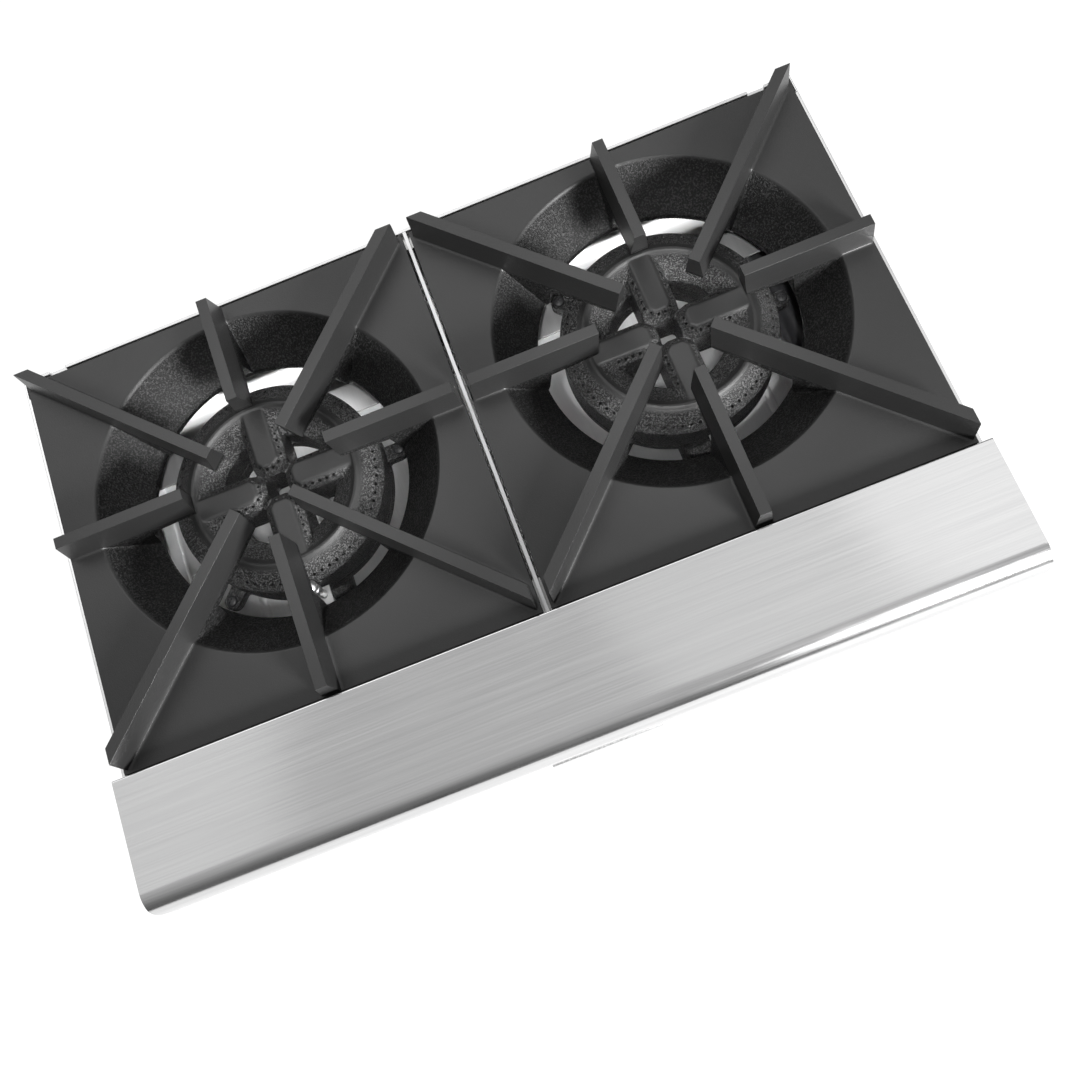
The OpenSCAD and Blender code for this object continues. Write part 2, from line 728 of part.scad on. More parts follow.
// Burner base: closes the ring and the arms from below and takes the mixer tube
module burner_base() {
  low = -head_h - base_h;
  floor_t = 4;
  boss_y = boss_front_y - burner_y;
  boss_mid = mixer_z - ridge_z;
  boss_rear = -ring_in_r - 2;
  riser_r = 7;
  neck_half = boss_r - 3;
  color(cast) difference() {
    union() {
      rotate_extrude($fn = 96) polygon([[ring_in_r, -head_h], [ring_in_r, low], [ring_r - 3, low], [ring_r, low + 3],
        [ring_r, -head_h], [ring_r - cast_wall, -head_h], [ring_r - cast_wall, low + floor_t],
        [ring_in_r + cast_wall, low + floor_t], [ring_in_r + cast_wall, -head_h]]);
      for (turn = [0:90:270]) rotate([0, 0, turn]) {
        block([gap_w / 2, -arm_half_w, -head_h - floor_t], [ring_in_r + 1, arm_half_w, -head_h]);
      }
      for (turn = ear_angles) rotate([0, 0, turn]) ear(-head_h - ear_t, ear_t);
      translate([0, 0, boss_mid]) rod_y(boss_y, boss_rear, boss_r);
      block([-neck_half, -ring_r + 2, low - mixer_drop], [neck_half, boss_rear - 1, low + 1]);
    }
    translate([0, 0, boss_mid]) rod_y(boss_y - past, boss_y + boss_depth, mixer_r + run_clear);
    translate([0, 0, boss_mid]) rod_y(boss_y + boss_depth - past, boss_rear - floor_t, mixer_r - mixer_wall);
    translate([0, boss_y + boss_depth + riser_r + 1, boss_mid]) {
      cylinder(h = low + floor_t + past - boss_mid, r = riser_r);
    }
    for (turn = ear_angles) rotate([0, 0, turn]) {
      translate([ear_r, 0, -head_h - ear_t - past]) {
        cylinder(h = ear_t + 2 * past, r = screw_r + fix_clear, $fn = small_fn);
      }
    }
  }
}

// Screws that hold a burner's two castings together
module burner_screws() {
  color(chrome) for (turn = ear_angles) rotate([0, 0, turn]) translate([ear_r, 0, -head_h]) {
    translate([0, 0, -ear_t - 4]) cylinder(h = 2 * ear_t + 4, r = screw_r, $fn = small_fn);
    translate([0, 0, ear_t]) cylinder(h = 3, r = screw_head_r, $fn = small_fn);
    translate([0, 0, -ear_t - 3.2]) cylinder(h = 3.2, r = screw_head_r, $fn = 6);
  }
}

// Mixer tube, flared at its mouth
module mixer_tube() {
  rear_end = boss_front_y + boss_depth - 0.2;
  color(tube_grey) difference() {
    translate([0, 0, mixer_z]) rod_y(mouth_y, rear_end, mixer_r);
    translate([0, 0, mixer_z]) rod_y(mouth_y - past, rear_end + past, mixer_r - mixer_wall);
    for (turn = [45:90:315]) translate([0, mouth_y + shutter_l / 2, mixer_z]) rotate([0, turn, 0]) {
      cylinder(h = mixer_r + past, r = 4, $fn = small_fn);
    }
  }
}

// Air shutter: a turning sleeve with four windows round the mixer's mouth
module air_shutter() {
  color(brass) difference() {
    translate([0, 0, mixer_z]) rod_y(mouth_y, mouth_y + shutter_l, mixer_r + run_clear + shutter_wall);
    translate([0, 0, mixer_z]) rod_y(mouth_y - past, mouth_y + shutter_l + past, mixer_r + run_clear);
    for (turn = [45:90:315]) translate([0, mouth_y + shutter_l / 2, mixer_z]) rotate([0, turn, 0]) {
      cylinder(h = mixer_r + 2 * shutter_wall + past, r = 4, $fn = small_fn);
    }
  }
}

// Gas valve: block, inlet stub down into the pipe and outlet boss to the rear
module valve() {
  half = valve_w / 2;
  color(brass) difference() {
    union() {
      block([-half, valve_y, mixer_z - half], [half, valve_rear_y, mixer_z + half]);
      translate([0, pipe_y, stub_z]) cylinder(h = mixer_z - half - stub_z + past, r = inlet_stub_r);
      translate([0, 0, mixer_z]) rod_y(valve_y - 4, valve_y + past, stem_r + 3);
    }
    translate([0, 0, mixer_z]) rod_y(valve_y - 4 - past, valve_y + valve_l / 2, stem_r + run_clear);
    translate([0, 0, mixer_z]) rod_y(valve_rear_y - 8, valve_rear_y + past, orifice_r - 2 + fix_clear);
    translate([0, 0, mixer_z]) rod_y(pipe_y - past, valve_rear_y - 8 + past, 2, small_fn);
    translate([0, pipe_y, stub_z - past]) cylinder(h = mixer_z - stub_z + past, r = 2.5, $fn = small_fn);
  }
}

// Orifice hood, screwed into the valve and pointing into the mixer
module orifice() {
  color(brass) difference() {
    translate([0, 0, mixer_z]) union() {
      rod_y(valve_rear_y - 7.5, valve_rear_y + 1, orifice_r - 2);
      translate([0, valve_rear_y + 5, 0]) rotate([90, 0, 0]) cylinder(h = 5, r = orifice_r + 1, $fn = 6);
      rod_y(valve_rear_y + 5, valve_rear_y + orifice_l, orifice_r - 1);
    }
    translate([0, 0, mixer_z]) rod_y(valve_rear_y - 8, valve_rear_y + orifice_l - 3, 2, small_fn);
    translate([0, 0, mixer_z]) rod_y(valve_rear_y + orifice_l - 4, valve_rear_y + orifice_l + past, 0.8, small_fn);
  }
}

// Valve stem, from inside the valve to inside the knob
module valve_stem() {
  stem_front_y = panel_y - knob_gap - knob_l * 0.6;
  color(chrome) translate([0, 0, mixer_z]) rod_y(stem_front_y, valve_y + valve_l / 2 - 1, stem_r);
}

// Knob: round skirt, raised grip bar and a pointer notch, closed at the front
module knob() {
  back_y = panel_y - 2 - knob_gap;
  front_face_y = back_y - knob_l;
  skirt_l = 10;
  bar_h = 2 * knob_r - 6;
  color(knob_black) difference() {
    translate([0, 0, mixer_z]) union() {
      translate([0, back_y, 0]) rotate([90, 0, 0]) rotate_extrude($fn = 96) polygon([[0, 0], [knob_r, 0],
        [knob_r, 3], [knob_r - 3, skirt_l], [0, skirt_l]]);
      block([-grip_w / 2, front_face_y, -bar_h / 2], [grip_w / 2, back_y - skirt_l + past, bar_h / 2]);
      rod_y(front_face_y + 8, back_y - skirt_l + past, knob_r * 0.62);
    }
    translate([0, 0, mixer_z]) rod_y(panel_y - knob_gap - knob_l * 0.6 - 0.2, back_y + past, stem_r + fix_clear / 2);
    block([-1, front_face_y - past, mixer_z + bar_h / 2 - 9], [1, front_face_y + 1.5, mixer_z + bar_h / 2 + past]);
  }
}

// Bezel rings on the panel behind the knobs
module knob_bezels() {
  color(chrome) for (side = [left, right]) translate([side * grate_x, 0, mixer_z]) difference() {
    rod_y(panel_y - 2, panel_y, knob_r + 3, 96);
    rod_y(panel_y - 2 - past, panel_y + past, stem_r + 5);
  }
}

// Manifold pipe, closed at its left end, drilled for the valves and pilot valves
module manifold_pipe() {
  pipe_past = 90;
  end_x = inlet_x - elbow_seat;
  far_x = -grate_x - pipe_past;
  color(pipe_black) difference() {
    translate([0, pipe_y, pipe_z]) rod_x(far_x, end_x, pipe_r);
    translate([0, pipe_y, pipe_z]) rod_x(far_x + 4, end_x + past, pipe_r - pipe_wall);
    for (side = [left, right]) {
      translate([side * grate_x, pipe_y, pipe_z]) cylinder(h = pipe_r + past, r = inlet_stub_r + fix_clear);
      translate([side * grate_x + pilot_valve_x, pipe_y, pipe_z]) cylinder(h = pipe_r + past, r = 4 + fix_clear);
    }
  }
}

// Elbow that turns the gas line from the manifold towards the rear
module supply_elbow() {
  socket_r = pipe_r + 4;
  socket_l = 16;
  arm_l = elbow_seat + socket_l;
  shoulder = elbow_seat - 0.5;
  color(pipe_black) translate([inlet_x, pipe_y, pipe_z]) difference() {
    union() {
      sphere(r = socket_r);
      rod_x(-arm_l, 0, socket_r);
      rod_y(0, arm_l, socket_r);
    }
    rod_x(-arm_l - past, -shoulder, pipe_r + fix_clear);
    rod_y(shoulder, arm_l + past, pipe_r + fix_clear);
    rod_x(-shoulder - past, 0, pipe_r - pipe_wall);
    rod_y(0, shoulder + past, pipe_r - pipe_wall);
    sphere(r = pipe_r - pipe_wall);
  }
}

// Supply pipe, from the elbow out through the back: past its groove it is the gas inlet
module supply_pipe() {
  groove = [rear_y + 3, rear_y + 6];
  start_y = pipe_y + elbow_seat;
  color(pipe_black) translate([inlet_x, 0, pipe_z]) difference() {
    union() {
      rod_y(start_y, groove[0], pipe_r);
      rod_y(groove[0] - past, groove[1] + past, pipe_r - 0.6);
      rod_y(groove[1], rear_y + inlet_out, pipe_r);
    }
    rod_y(start_y - past, rear_y + inlet_out + past, pipe_r - pipe_wall);
  }
}

// Brackets that carry the manifold pipe on the front baffle
module manifold_brackets() {
  bracket_t = 3;
  bracket_x = 60;
  eye_r = pipe_r + 4;
  color(steel) for (x = [-bracket_x, bracket_x]) difference() {
    union() {
      translate([0, pipe_y, pipe_z]) rod_x(x, x + bracket_t, eye_r);
      block([x, pipe_y, pipe_z - 12], [x + bracket_t, baffle_y, pipe_z + 12]);
      block([x, baffle_y - 2, pipe_z - 12], [x + flange, baffle_y, pipe_z + 12]);
    }
    translate([0, pipe_y, pipe_z]) rod_x(x - past, x + bracket_t + past, pipe_r + run_clear);
  }
}

// Pilot valve on the manifold pipe, with a screw bore in front and an outlet behind
module pilot_valve() {
  body_r = 8;
  color(brass) difference() {
    union() {
      translate([0, pipe_y, stub_z]) cylinder(h = mixer_z - stub_z, r = 4);
      translate([0, pipe_y, pipe_z + pipe_r + 1]) cylinder(h = mixer_z + body_r - pipe_z - pipe_r - 1, r = body_r);
      translate([0, 0, mixer_z]) rod_y(valve_y, pipe_y + body_r + 6, 6);
    }
    translate([0, 0, mixer_z]) rod_y(valve_y - past, pipe_y, 3 + run_clear, small_fn);
    translate([0, 0, mixer_z]) rod_y(pipe_y + body_r, pipe_y + body_r + 6 + past, pilot_tube_r + fix_clear, small_fn);
  }
}

// Slotted adjusting screw of a pilot valve
module pilot_screw() {
  color(brass) translate([0, 0, mixer_z]) difference() {
    union() {
      rod_y(valve_y - 1, pipe_y - 1, 3, small_fn);
      rod_y(valve_y - 4, valve_y - 1, 4.5, small_fn);
    }
    block([-5, valve_y - 5, -0.5], [5, valve_y - 2.5, 0.5]);
  }
}

// A stretch of tube between two points, with a ball at its far end to round the bend
module tube_run(from, to) {
  way = to - from;
  len = norm(way);
  turn = atan2(way.y, way.x);
  tilt = acos(way.z / len);
  translate(from) rotate([0, tilt, turn]) cylinder(h = len, r = pilot_tube_r, $fn = small_fn);
  translate(to) sphere(r = pilot_tube_r, $fn = small_fn);
}

// Pilot tube, from its valve through the baffle and up beside the burner
module pilot_tube() {
  start_y = pipe_y + 8 + 0.5;
  bend_y = baffle_y - 12;
  half_x = pilot_valve_x / 2;
  route = [[pilot_valve_x, start_y, mixer_z], [pilot_valve_x, bend_y - 14, mixer_z],
    [half_x, bend_y, pilot_low_z], [half_x, baffle_y + 14, pilot_low_z], [pilot_x, pilot_y, pilot_low_z],
    [pilot_x, pilot_y, pilot_z - pilot_tip_r - 4]];
  color(tube_grey) union() for (i = [1:len(route) - 2]) {
    tube_run(route[i - 1], route[i]);
    if (i == len(route) - 2) {
      translate(route[i]) cylinder(h = route[i + 1].z - route[i].z, r = pilot_tube_r, $fn = small_fn);
    }
  }
}

// Pilot tip: a round hood on a short socket
module pilot_tip() {
  socket_z = pilot_z - pilot_tip_r - 8;
  color(chrome) translate([pilot_x, pilot_y, 0]) difference() {
    union() {
      translate([0, 0, pilot_z]) sphere(r = pilot_tip_r);
      translate([0, 0, socket_z]) cylinder(h = pilot_z - socket_z, r = pilot_tube_r + 1);
    }
    translate([0, 0, socket_z - past]) cylinder(h = 4 + past, r = pilot_tube_r + fix_clear / 2);
    translate([0, 0, socket_z]) cylinder(h = 8, r = 1, $fn = small_fn);
  }
}

// Pilot bracket: a strap from the baffle that holds the pilot tube upright
module pilot_bracket() {
  strap_t = 1.5;
  strap_z = pilot_low_z + pilot_tube_r + 1;
  strap_w = 12;
  color(steel) difference() {
    union() {
      block([pilot_x - strap_w / 2, baffle_y + sheet, strap_z], [pilot_x + strap_w / 2, pilot_y + 5, strap_z + strap_t]);
      block([pilot_x - strap_w / 2, baffle_y + sheet, strap_z], [pilot_x + strap_w / 2, baffle_y + sheet + strap_t,
        strap_z + 20]);
    }
    translate([pilot_x, pilot_y, strap_z - past]) cylinder(h = strap_t + 2 * past, r = pilot_tube_r + run_clear);
  }
}

// Leg: a tapered sleeve under a bottom rail
module leg(side, end) {
  low_z = foot_h + 0.5;
  stem_top_z = low_z + 50;
  color(chrome) translate([side * leg_x, end == front ? leg_y_front : leg_y_rear, 0]) difference() {
    rotate_extrude() polygon([[0, low_z], [leg_r - 4, low_z], [leg_r - 3, low_z + 1], [leg_r, floor_z - 4],
      [leg_r, floor_z], [0, floor_z]]);
    translate([0, 0, low_z - past]) cylinder(h = stem_top_z - low_z + past, r = foot_stem_r + run_clear);
    translate([0, 0, floor_z - 16]) cylinder(h = 16 + past, r = bolt_r + run_clear);
  }
}

// Foot: pad, hexagon and stem in one piece, screwed into its leg
module foot(side, end) {
  low_z = foot_h + 0.5;
  stem_top_z = low_z + 48;
  hex_r = 13;
  color(chrome) translate([side * leg_x, end == front ? leg_y_front : leg_y_rear, 0]) union() {
    rotate_extrude() polygon([[0, 0], [foot_r - 2, 0], [foot_r, 2], [foot_r, 6], [foot_r - 5, 10], [0, 10]]);
    translate([0, 0, 9]) cylinder(h = foot_h - 13, r = hex_r, $fn = 6);
    translate([0, 0, foot_h - 5]) cylinder(h = 5, r = foot_r - 3);
    translate([0, 0, foot_h - 1]) cylinder(h = stem_top_z - foot_h + 1, r = foot_stem_r);
  }
}

// Bolts that hold the legs to the bottom rails
module leg_bolts() {
  color(chrome) for (side = [left, right], y = [leg_y_front, leg_y_rear]) {
    translate([side * leg_x, y, rail_z]) {
      translate([0, 0, -rail_t - bolt_l]) cylinder(h = rail_t + bolt_l, r = bolt_r);
      cylinder(h = 3.2, r = 7, $fn = 6);
    }
  }
}

// Screws through the side panels into the flanges of the rear and control panels
module panel_screws() {
  color(chrome) for (side = [left, right], y = side_screw_y, z = side_screw_z) {
    mirror([side == left ? 1 : 0, 0, 0]) translate([0, y, z]) {
      rod_x(hem_x - 3, half_w, screw_r, small_fn);
      rod_x(half_w, half_w + screw_head_h, screw_head_r, small_fn);
    }
  }
}

// Moves a piece drawn about the burner's axis, with its ridge at Z 0, to one side
module at_burner(side) {
  translate([side * grate_x, burner_y, ridge_z]) children();
}

// Moves a piece drawn at its own height and depth to one side
module at_side(side) {
  translate([side * grate_x, 0, 0]) children();
}

side_panel(left);  // left_side_panel
side_panel(right);  // right_side_panel
rear_panel();
control_panel();
front_ledge();
front_baffle();
rear_grate_rail();
centre_divider();
burner_support_bar();
bottom_rail(front);  // bottom_front_rail
bottom_rail(rear);  // bottom_rear_rail
tray_runner(left);  // left_tray_runner
tray_runner(right);  // right_tray_runner
drip_tray();
translate([-grate_x, burner_y, plate_z]) grate();  // left_grate
translate([grate_x, burner_y, plate_z]) grate();  // right_grate
at_burner(left) burner_head();  // left_burner_head
at_burner(right) burner_head();  // right_burner_head
at_burner(left) burner_base();  // left_burner_base
at_burner(right) burner_base();  // right_burner_base
at_side(left) mixer_tube();  // left_mixer_tube
at_side(right) mixer_tube();  // right_mixer_tube
at_side(left) air_shutter();  // left_air_shutter
at_side(right) air_shutter();  // right_air_shutter
at_burner(left) burner_screws();  // left_burner_screws
at_burner(right) burner_screws();  // right_burner_screws
at_side(left) pilot_tube();  // left_pilot_tube
at_side(right) pilot_tube();  // right_pilot_tube
at_side(left) pilot_tip();  // left_pilot_tip
at_side(right) pilot_tip();  // right_pilot_tip
at_side(left) pilot_bracket();  // left_pilot_bracket
at_side(right) pilot_bracket();  // right_pilot_bracket
manifold_pipe();
supply_elbow();
supply_pipe();
manifold_brackets();
at_side(left) valve();  // left_valve
at_side(right) valve();  // right_valve
at_side(left) orifice();  // left_orifice
at_side(right) orifice();  // right_orifice
at_side(left) valve_stem();  // left_valve_stem
at_side(right) valve_stem();  // right_valve_stem
at_side(left) knob();  // left_knob
at_side(right) knob();  // right_knob
knob_bezels();
at_side(left) translate([pilot_valve_x, 0, 0]) pilot_valve();  // left_pilot_valve
at_side(right) translate([pilot_valve_x, 0, 0]) pilot_valve();  // right_pilot_valve
at_side(left) translate([pilot_valve_x, 0, 0]) pilot_screw();  // left_pilot_screw
at_side(right) translate([pilot_valve_x, 0, 0]) pilot_screw();  // right_pilot_screw
leg(left, front);  // front_left_leg
leg(right, front);  // front_right_leg
leg(left, rear);  // rear_left_leg
leg(right, rear);  // rear_right_leg
foot(left, front);  // front_left_foot
foot(right, front);  // front_right_foot
foot(left, rear);  // rear_left_foot
foot(right, rear);  // rear_right_foot
panel_screws();
leg_bolts();
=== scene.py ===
"""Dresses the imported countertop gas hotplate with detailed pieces, finishes, light and a camera."""
import json
import logging
from dataclasses import dataclass, field
from enum import Enum
from math import atan2, cos, pi, radians, sin, sqrt
from typing import Sequence

import bpy
from mathutils import Matrix, Vector

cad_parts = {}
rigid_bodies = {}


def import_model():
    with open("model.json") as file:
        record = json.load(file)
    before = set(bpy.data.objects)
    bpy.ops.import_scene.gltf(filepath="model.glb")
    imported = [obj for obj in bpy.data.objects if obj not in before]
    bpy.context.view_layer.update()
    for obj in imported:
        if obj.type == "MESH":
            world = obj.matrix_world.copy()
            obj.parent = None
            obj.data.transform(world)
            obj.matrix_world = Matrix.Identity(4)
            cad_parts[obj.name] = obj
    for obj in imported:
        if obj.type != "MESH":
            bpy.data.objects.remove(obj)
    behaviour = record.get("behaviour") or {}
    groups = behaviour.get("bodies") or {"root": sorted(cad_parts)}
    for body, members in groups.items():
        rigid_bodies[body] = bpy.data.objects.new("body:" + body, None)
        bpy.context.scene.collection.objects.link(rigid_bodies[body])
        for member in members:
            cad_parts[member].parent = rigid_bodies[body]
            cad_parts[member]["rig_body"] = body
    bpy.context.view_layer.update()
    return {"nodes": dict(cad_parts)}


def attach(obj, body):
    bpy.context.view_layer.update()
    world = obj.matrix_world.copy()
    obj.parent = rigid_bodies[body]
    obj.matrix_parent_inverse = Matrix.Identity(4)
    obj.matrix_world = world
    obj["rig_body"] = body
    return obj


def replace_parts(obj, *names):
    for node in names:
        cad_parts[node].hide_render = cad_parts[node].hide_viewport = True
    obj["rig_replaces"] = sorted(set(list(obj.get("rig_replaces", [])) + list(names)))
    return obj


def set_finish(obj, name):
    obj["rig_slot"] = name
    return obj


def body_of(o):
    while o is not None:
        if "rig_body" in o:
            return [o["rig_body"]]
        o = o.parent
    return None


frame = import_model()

LOG = logging.getLogger("hotplate")

Object = bpy.types.Object
Material = bpy.types.Material
Point = tuple[float, float, float]
Pair = tuple[float, float]

# How far a cutting tool reaches past the face that it opens
PAST = 0.001


class Side(Enum):
    """Which of two mirrored places a piece belongs to."""

    LEFT = -1
    RIGHT = 1

    @property
    def word(self) -> str:
        """The side's name as node names use it."""
        return self.name.lower()


class Way(Enum):
    """The directions of the part's frame, numbered as its axes are."""

    ACROSS = 0
    DEEP = 1
    UP = 2


class Finish(Enum):
    """The finishes, each with the record's material slot that it belongs to."""

    LEDGE_SHEET = ("ledge_sheet", "brushed_sheet")
    SIDE_SHEET = ("side_sheet", "brushed_sheet")
    PANEL_SHEET = ("panel_sheet", "brushed_sheet")
    TRAY_SHEET = ("tray_sheet", "brushed_sheet")
    PLAIN_SHEET = ("plain_sheet", "plain_sheet")
    TUBE_METAL = ("tube_metal", "plain_sheet")
    GRATE_IRON = ("grate_iron", "grate_iron")
    BURNER_IRON = ("burner_iron", "burner_iron")
    BLACK_PIPE = ("black_pipe", "black_pipe")
    BRASS = ("brass", "brass")
    REAR_SHEET = ("rear_sheet", "brushed_sheet")
    STRIP_SHEET = ("strip_sheet", "brushed_sheet")
    DARK_STEEL = ("dark_steel", "bright_metal")
    BRIGHT_METAL = ("bright_metal", "bright_metal")
    PILOT_METAL = ("pilot_metal", "bright_metal")
    LEG_METAL = ("leg_metal", "leg_metal")
    KNOB_PLASTIC = ("knob_plastic", "knob_plastic")
    MARK_PAINT = ("mark_paint", "knob_plastic")

    @property
    def label(self) -> str:
        """The finish's own name."""
        return self.value[0]

    @property
    def slot(self) -> str:
        """The record's slot that the finish fills."""
        return self.value[1]


class Bench:
    """Modelling steps that the sub-assemblies share, done with Blender's own operators."""

    @staticmethod
    def clear() -> None:
        """Leaves edit mode and deselects every object."""
        if bpy.context.object is not None and bpy.context.object.mode != "OBJECT":
            bpy.ops.object.mode_set(mode="OBJECT")
        bpy.ops.object.select_all(action="DESELECT")

    @staticmethod
    def pick(*pieces: Object) -> Object:
        """Selects pieces alone and makes the first one active.

        Args:
            pieces: The objects to select.

        Returns:
            The active object.
        """
        Bench.clear()
        for piece in pieces:
            piece.select_set(True)
        bpy.context.view_layer.objects.active = pieces[0]
        return pieces[0]

    @staticmethod
    def edit(piece: Object) -> None:
        """Opens a piece in edit mode with all of it selected."""
        Bench.pick(piece)
        bpy.ops.object.mode_set(mode="EDIT")
        bpy.ops.mesh.select_mode(type="VERT")
        bpy.ops.mesh.select_all(action="SELECT")

    @staticmethod
    def done() -> None:
        """Goes back to object mode."""
        bpy.ops.object.mode_set(mode="OBJECT")

    @staticmethod
    def seal() -> None:
        """Turns every face outwards and goes back to object mode."""
        bpy.ops.mesh.select_all(action="SELECT")
        bpy.ops.mesh.normals_make_consistent(inside=False)
        Bench.done()

    @staticmethod
    def label(piece: Object, name: str) -> Object:
        """Names a piece and its mesh."""
        piece.name = name
        piece.data.name = name
        return piece

    @staticmethod
    def settle(piece: Object) -> Object:
        """Moves a piece's placement into its mesh and returns it."""
        Bench.pick(piece)
        bpy.ops.object.transform_apply(location=True, rotation=True, scale=True)
        return piece

    @staticmethod
    def thread(name: str, points: Sequence[Point]) -> Object:
        """Draws a line of vertices by extruding one vertex from point to point.

        Args:
            name: The new piece's name.
            points: The line's points, in metres.

        Returns:
            The new piece, left in edit mode with all of it selected.
        """
        Bench.clear()
        bpy.ops.mesh.primitive_plane_add(size=0.001, location=(0.0, 0.0, 0.0))
        piece = Bench.label(bpy.context.object, name)
        Bench.edit(piece)
        bpy.ops.mesh.merge(type="CENTER")
        bpy.ops.transform.translate(value=Vector(points[0]))
        for before, after in zip(points, points[1:]):
            step = Vector(after) - Vector(before)
            bpy.ops.mesh.extrude_vertices_move(TRANSFORM_OT_translate={"value": step})
        bpy.ops.mesh.select_all(action="SELECT")
        return piece

    @staticmethod
    def slab(name: str, outline: Sequence[Pair], way: Way, start: float, length: float) -> Object:
        """Fills a flat outline and extrudes it into a closed solid.

        Args:
            name: The new piece's name.
            outline: The corners along the other two axes, without repeating the first.
            way: The axis along which the outline is extruded.
            start: Where on that axis it stands.
            length: How far it is extruded.

        Returns:
            The new piece.
        """
        axis = way.value
        piece = Bench.thread(name, [(*pair[:axis], start, *pair[axis:]) for pair in outline])
        bpy.ops.mesh.edge_face_add()
        push = Vector((0.0, 0.0, 0.0))
        push[axis] = length
        bpy.ops.mesh.extrude_region_move(TRANSFORM_OT_translate={"value": push})
        Bench.seal()
        return piece

    @staticmethod
    def turned(name: str, profile: Sequence[Pair], about: Way = Way.UP, steps: int = 64) -> Object:
        """Spins a profile about the Z or the Y axis.

        Args:
            name: The new piece's name.
            profile: Each point's distance from the axis and place along it; a ring repeats its first.
            about: The axis, Way.UP or Way.DEEP.
            steps: How many stretches the full turn has.

        Returns:
            The new piece.
        """
        upright = about is Way.UP
        axis = (0.0, 0.0, 1.0) if upright else (0.0, 1.0, 0.0)
        piece = Bench.thread(name, [(r, 0.0, along) if upright else (r, along, 0.0) for r, along in profile])
        bpy.ops.mesh.spin(steps=steps, angle=2 * pi, center=(0.0, 0.0, 0.0), axis=axis)
        bpy.ops.mesh.select_all(action="SELECT")
        bpy.ops.mesh.remove_doubles(threshold=0.00001)
        Bench.seal()
        return piece

    @staticmethod
    def block(name: str, low: Sequence[float], high: Sequence[float]) -> Object:
        """Adds a cube and stretches it between two corners."""
        Bench.clear()
        size = [b - a for a, b in zip(low, high)]
        middle = [(a + b) / 2 for a, b in zip(low, high)]
        bpy.ops.mesh.primitive_cube_add(size=1.0, location=middle)
        piece = Bench.label(bpy.context.object, name)
        piece.scale = size
        return Bench.settle(piece)

    @staticmethod
    def rod(name: str, start: Point, end: Point, radius: float, sides: int = 32) -> Object:
        """Adds a cylinder between two points."""
        Bench.clear()
        way = Vector(end) - Vector(start)
        bpy.ops.mesh.primitive_cylinder_add(vertices=sides, radius=radius, depth=way.length)
        piece = Bench.label(bpy.context.object, name)
        piece.matrix_world = Matrix.Translation((Vector(start) + Vector(end)) / 2) @ (
            way.to_track_quat("Z", "Y").to_matrix().to_4x4())
        return Bench.settle(piece)

    @staticmethod
    def copy(piece: Object, name: str) -> Object:
        """Duplicates a piece with a mesh of its own."""
        Bench.pick(piece)
        bpy.ops.object.duplicate(linked=False)
        return Bench.label(bpy.context.object, name)

    @staticmethod
    def shift(piece: Object, way: Sequence[float]) -> Object:
        """Moves a piece's mesh by a vector."""
        piece.location = Vector(way)
        return Bench.settle(piece)

    @staticmethod
    def turn(piece: Object, angle: float, axis: str = "Z") -> Object:
        """Turns a piece's mesh about an axis through the origin."""
        piece.matrix_world = Matrix.Rotation(angle, 4, axis)
        return Bench.settle(piece)

    @staticmethod
    def modify(piece: Object, kind: str, **settings: object) -> Object:
        """Adds a modifier, sets it and applies it.

        Args:
            piece: The piece to change.
            kind: The modifier's type.
            settings: The modifier's properties.

        Returns:
            The changed piece.
        """
        Bench.pick(piece)
        modifier = piece.modifiers.new(kind.title(), kind)
        for key, value in settings.items():
            setattr(modifier, key, value)
        bpy.ops.object.modifier_apply(modifier=modifier.name)
        return piece

    @staticmethod
    def cut(piece: Object, tool: Object, operation: str = "DIFFERENCE") -> Object:
        """Cuts one piece with another, and removes the tool."""
        Bench.modify(piece, "BOOLEAN", operation=operation, solver="EXACT", object=tool)
        bpy.data.objects.remove(tool)
        return piece

    @staticmethod
    def join(name: str, pieces: Sequence[Object]) -> Object:
        """Joins pieces into one object."""
        piece = Bench.pick(*pieces)
        if len(pieces) > 1:
            bpy.ops.object.join()
        return Bench.label(piece, name)

    @staticmethod
    def ring_of(piece: Object, count: int, name: str) -> Object:
        """Repeats a piece round the Z axis and joins the copies."""
        twins = [Bench.turn(Bench.copy(piece, name), 2 * pi * i / count) for i in range(1, count)]
        return Bench.join(name, [piece, *twins])

    @staticmethod
    def slice(piece: Object, at: Point, normal: Point) -> Object:
        """Cuts away what lies beyond a plane and closes the cut."""
        Bench.edit(piece)
        bpy.ops.mesh.bisect(plane_co=at, plane_no=normal, use_fill=True, clear_outer=True, clear_inner=False)
        Bench.seal()
        return piece

    @staticmethod
    def edges(piece: Object, width: float, segments: int = 2, angle: float = 30.0) -> Object:
        """Rounds a piece's sharp edges and shades it smooth between them."""
        Bench.modify(piece, "BEVEL", width=width, segments=segments, limit_method="ANGLE",
                     angle_limit=radians(angle), use_clamp_overlap=True)
        return Bench.smooth(piece)

    @staticmethod
    def smooth(piece: Object, angle: float = 40.0) -> Object:
        """Shades a piece smooth, apart from edges sharper than an angle."""
        Bench.pick(piece)
        bpy.ops.object.shade_smooth_by_angle(angle=radians(angle))
        return piece

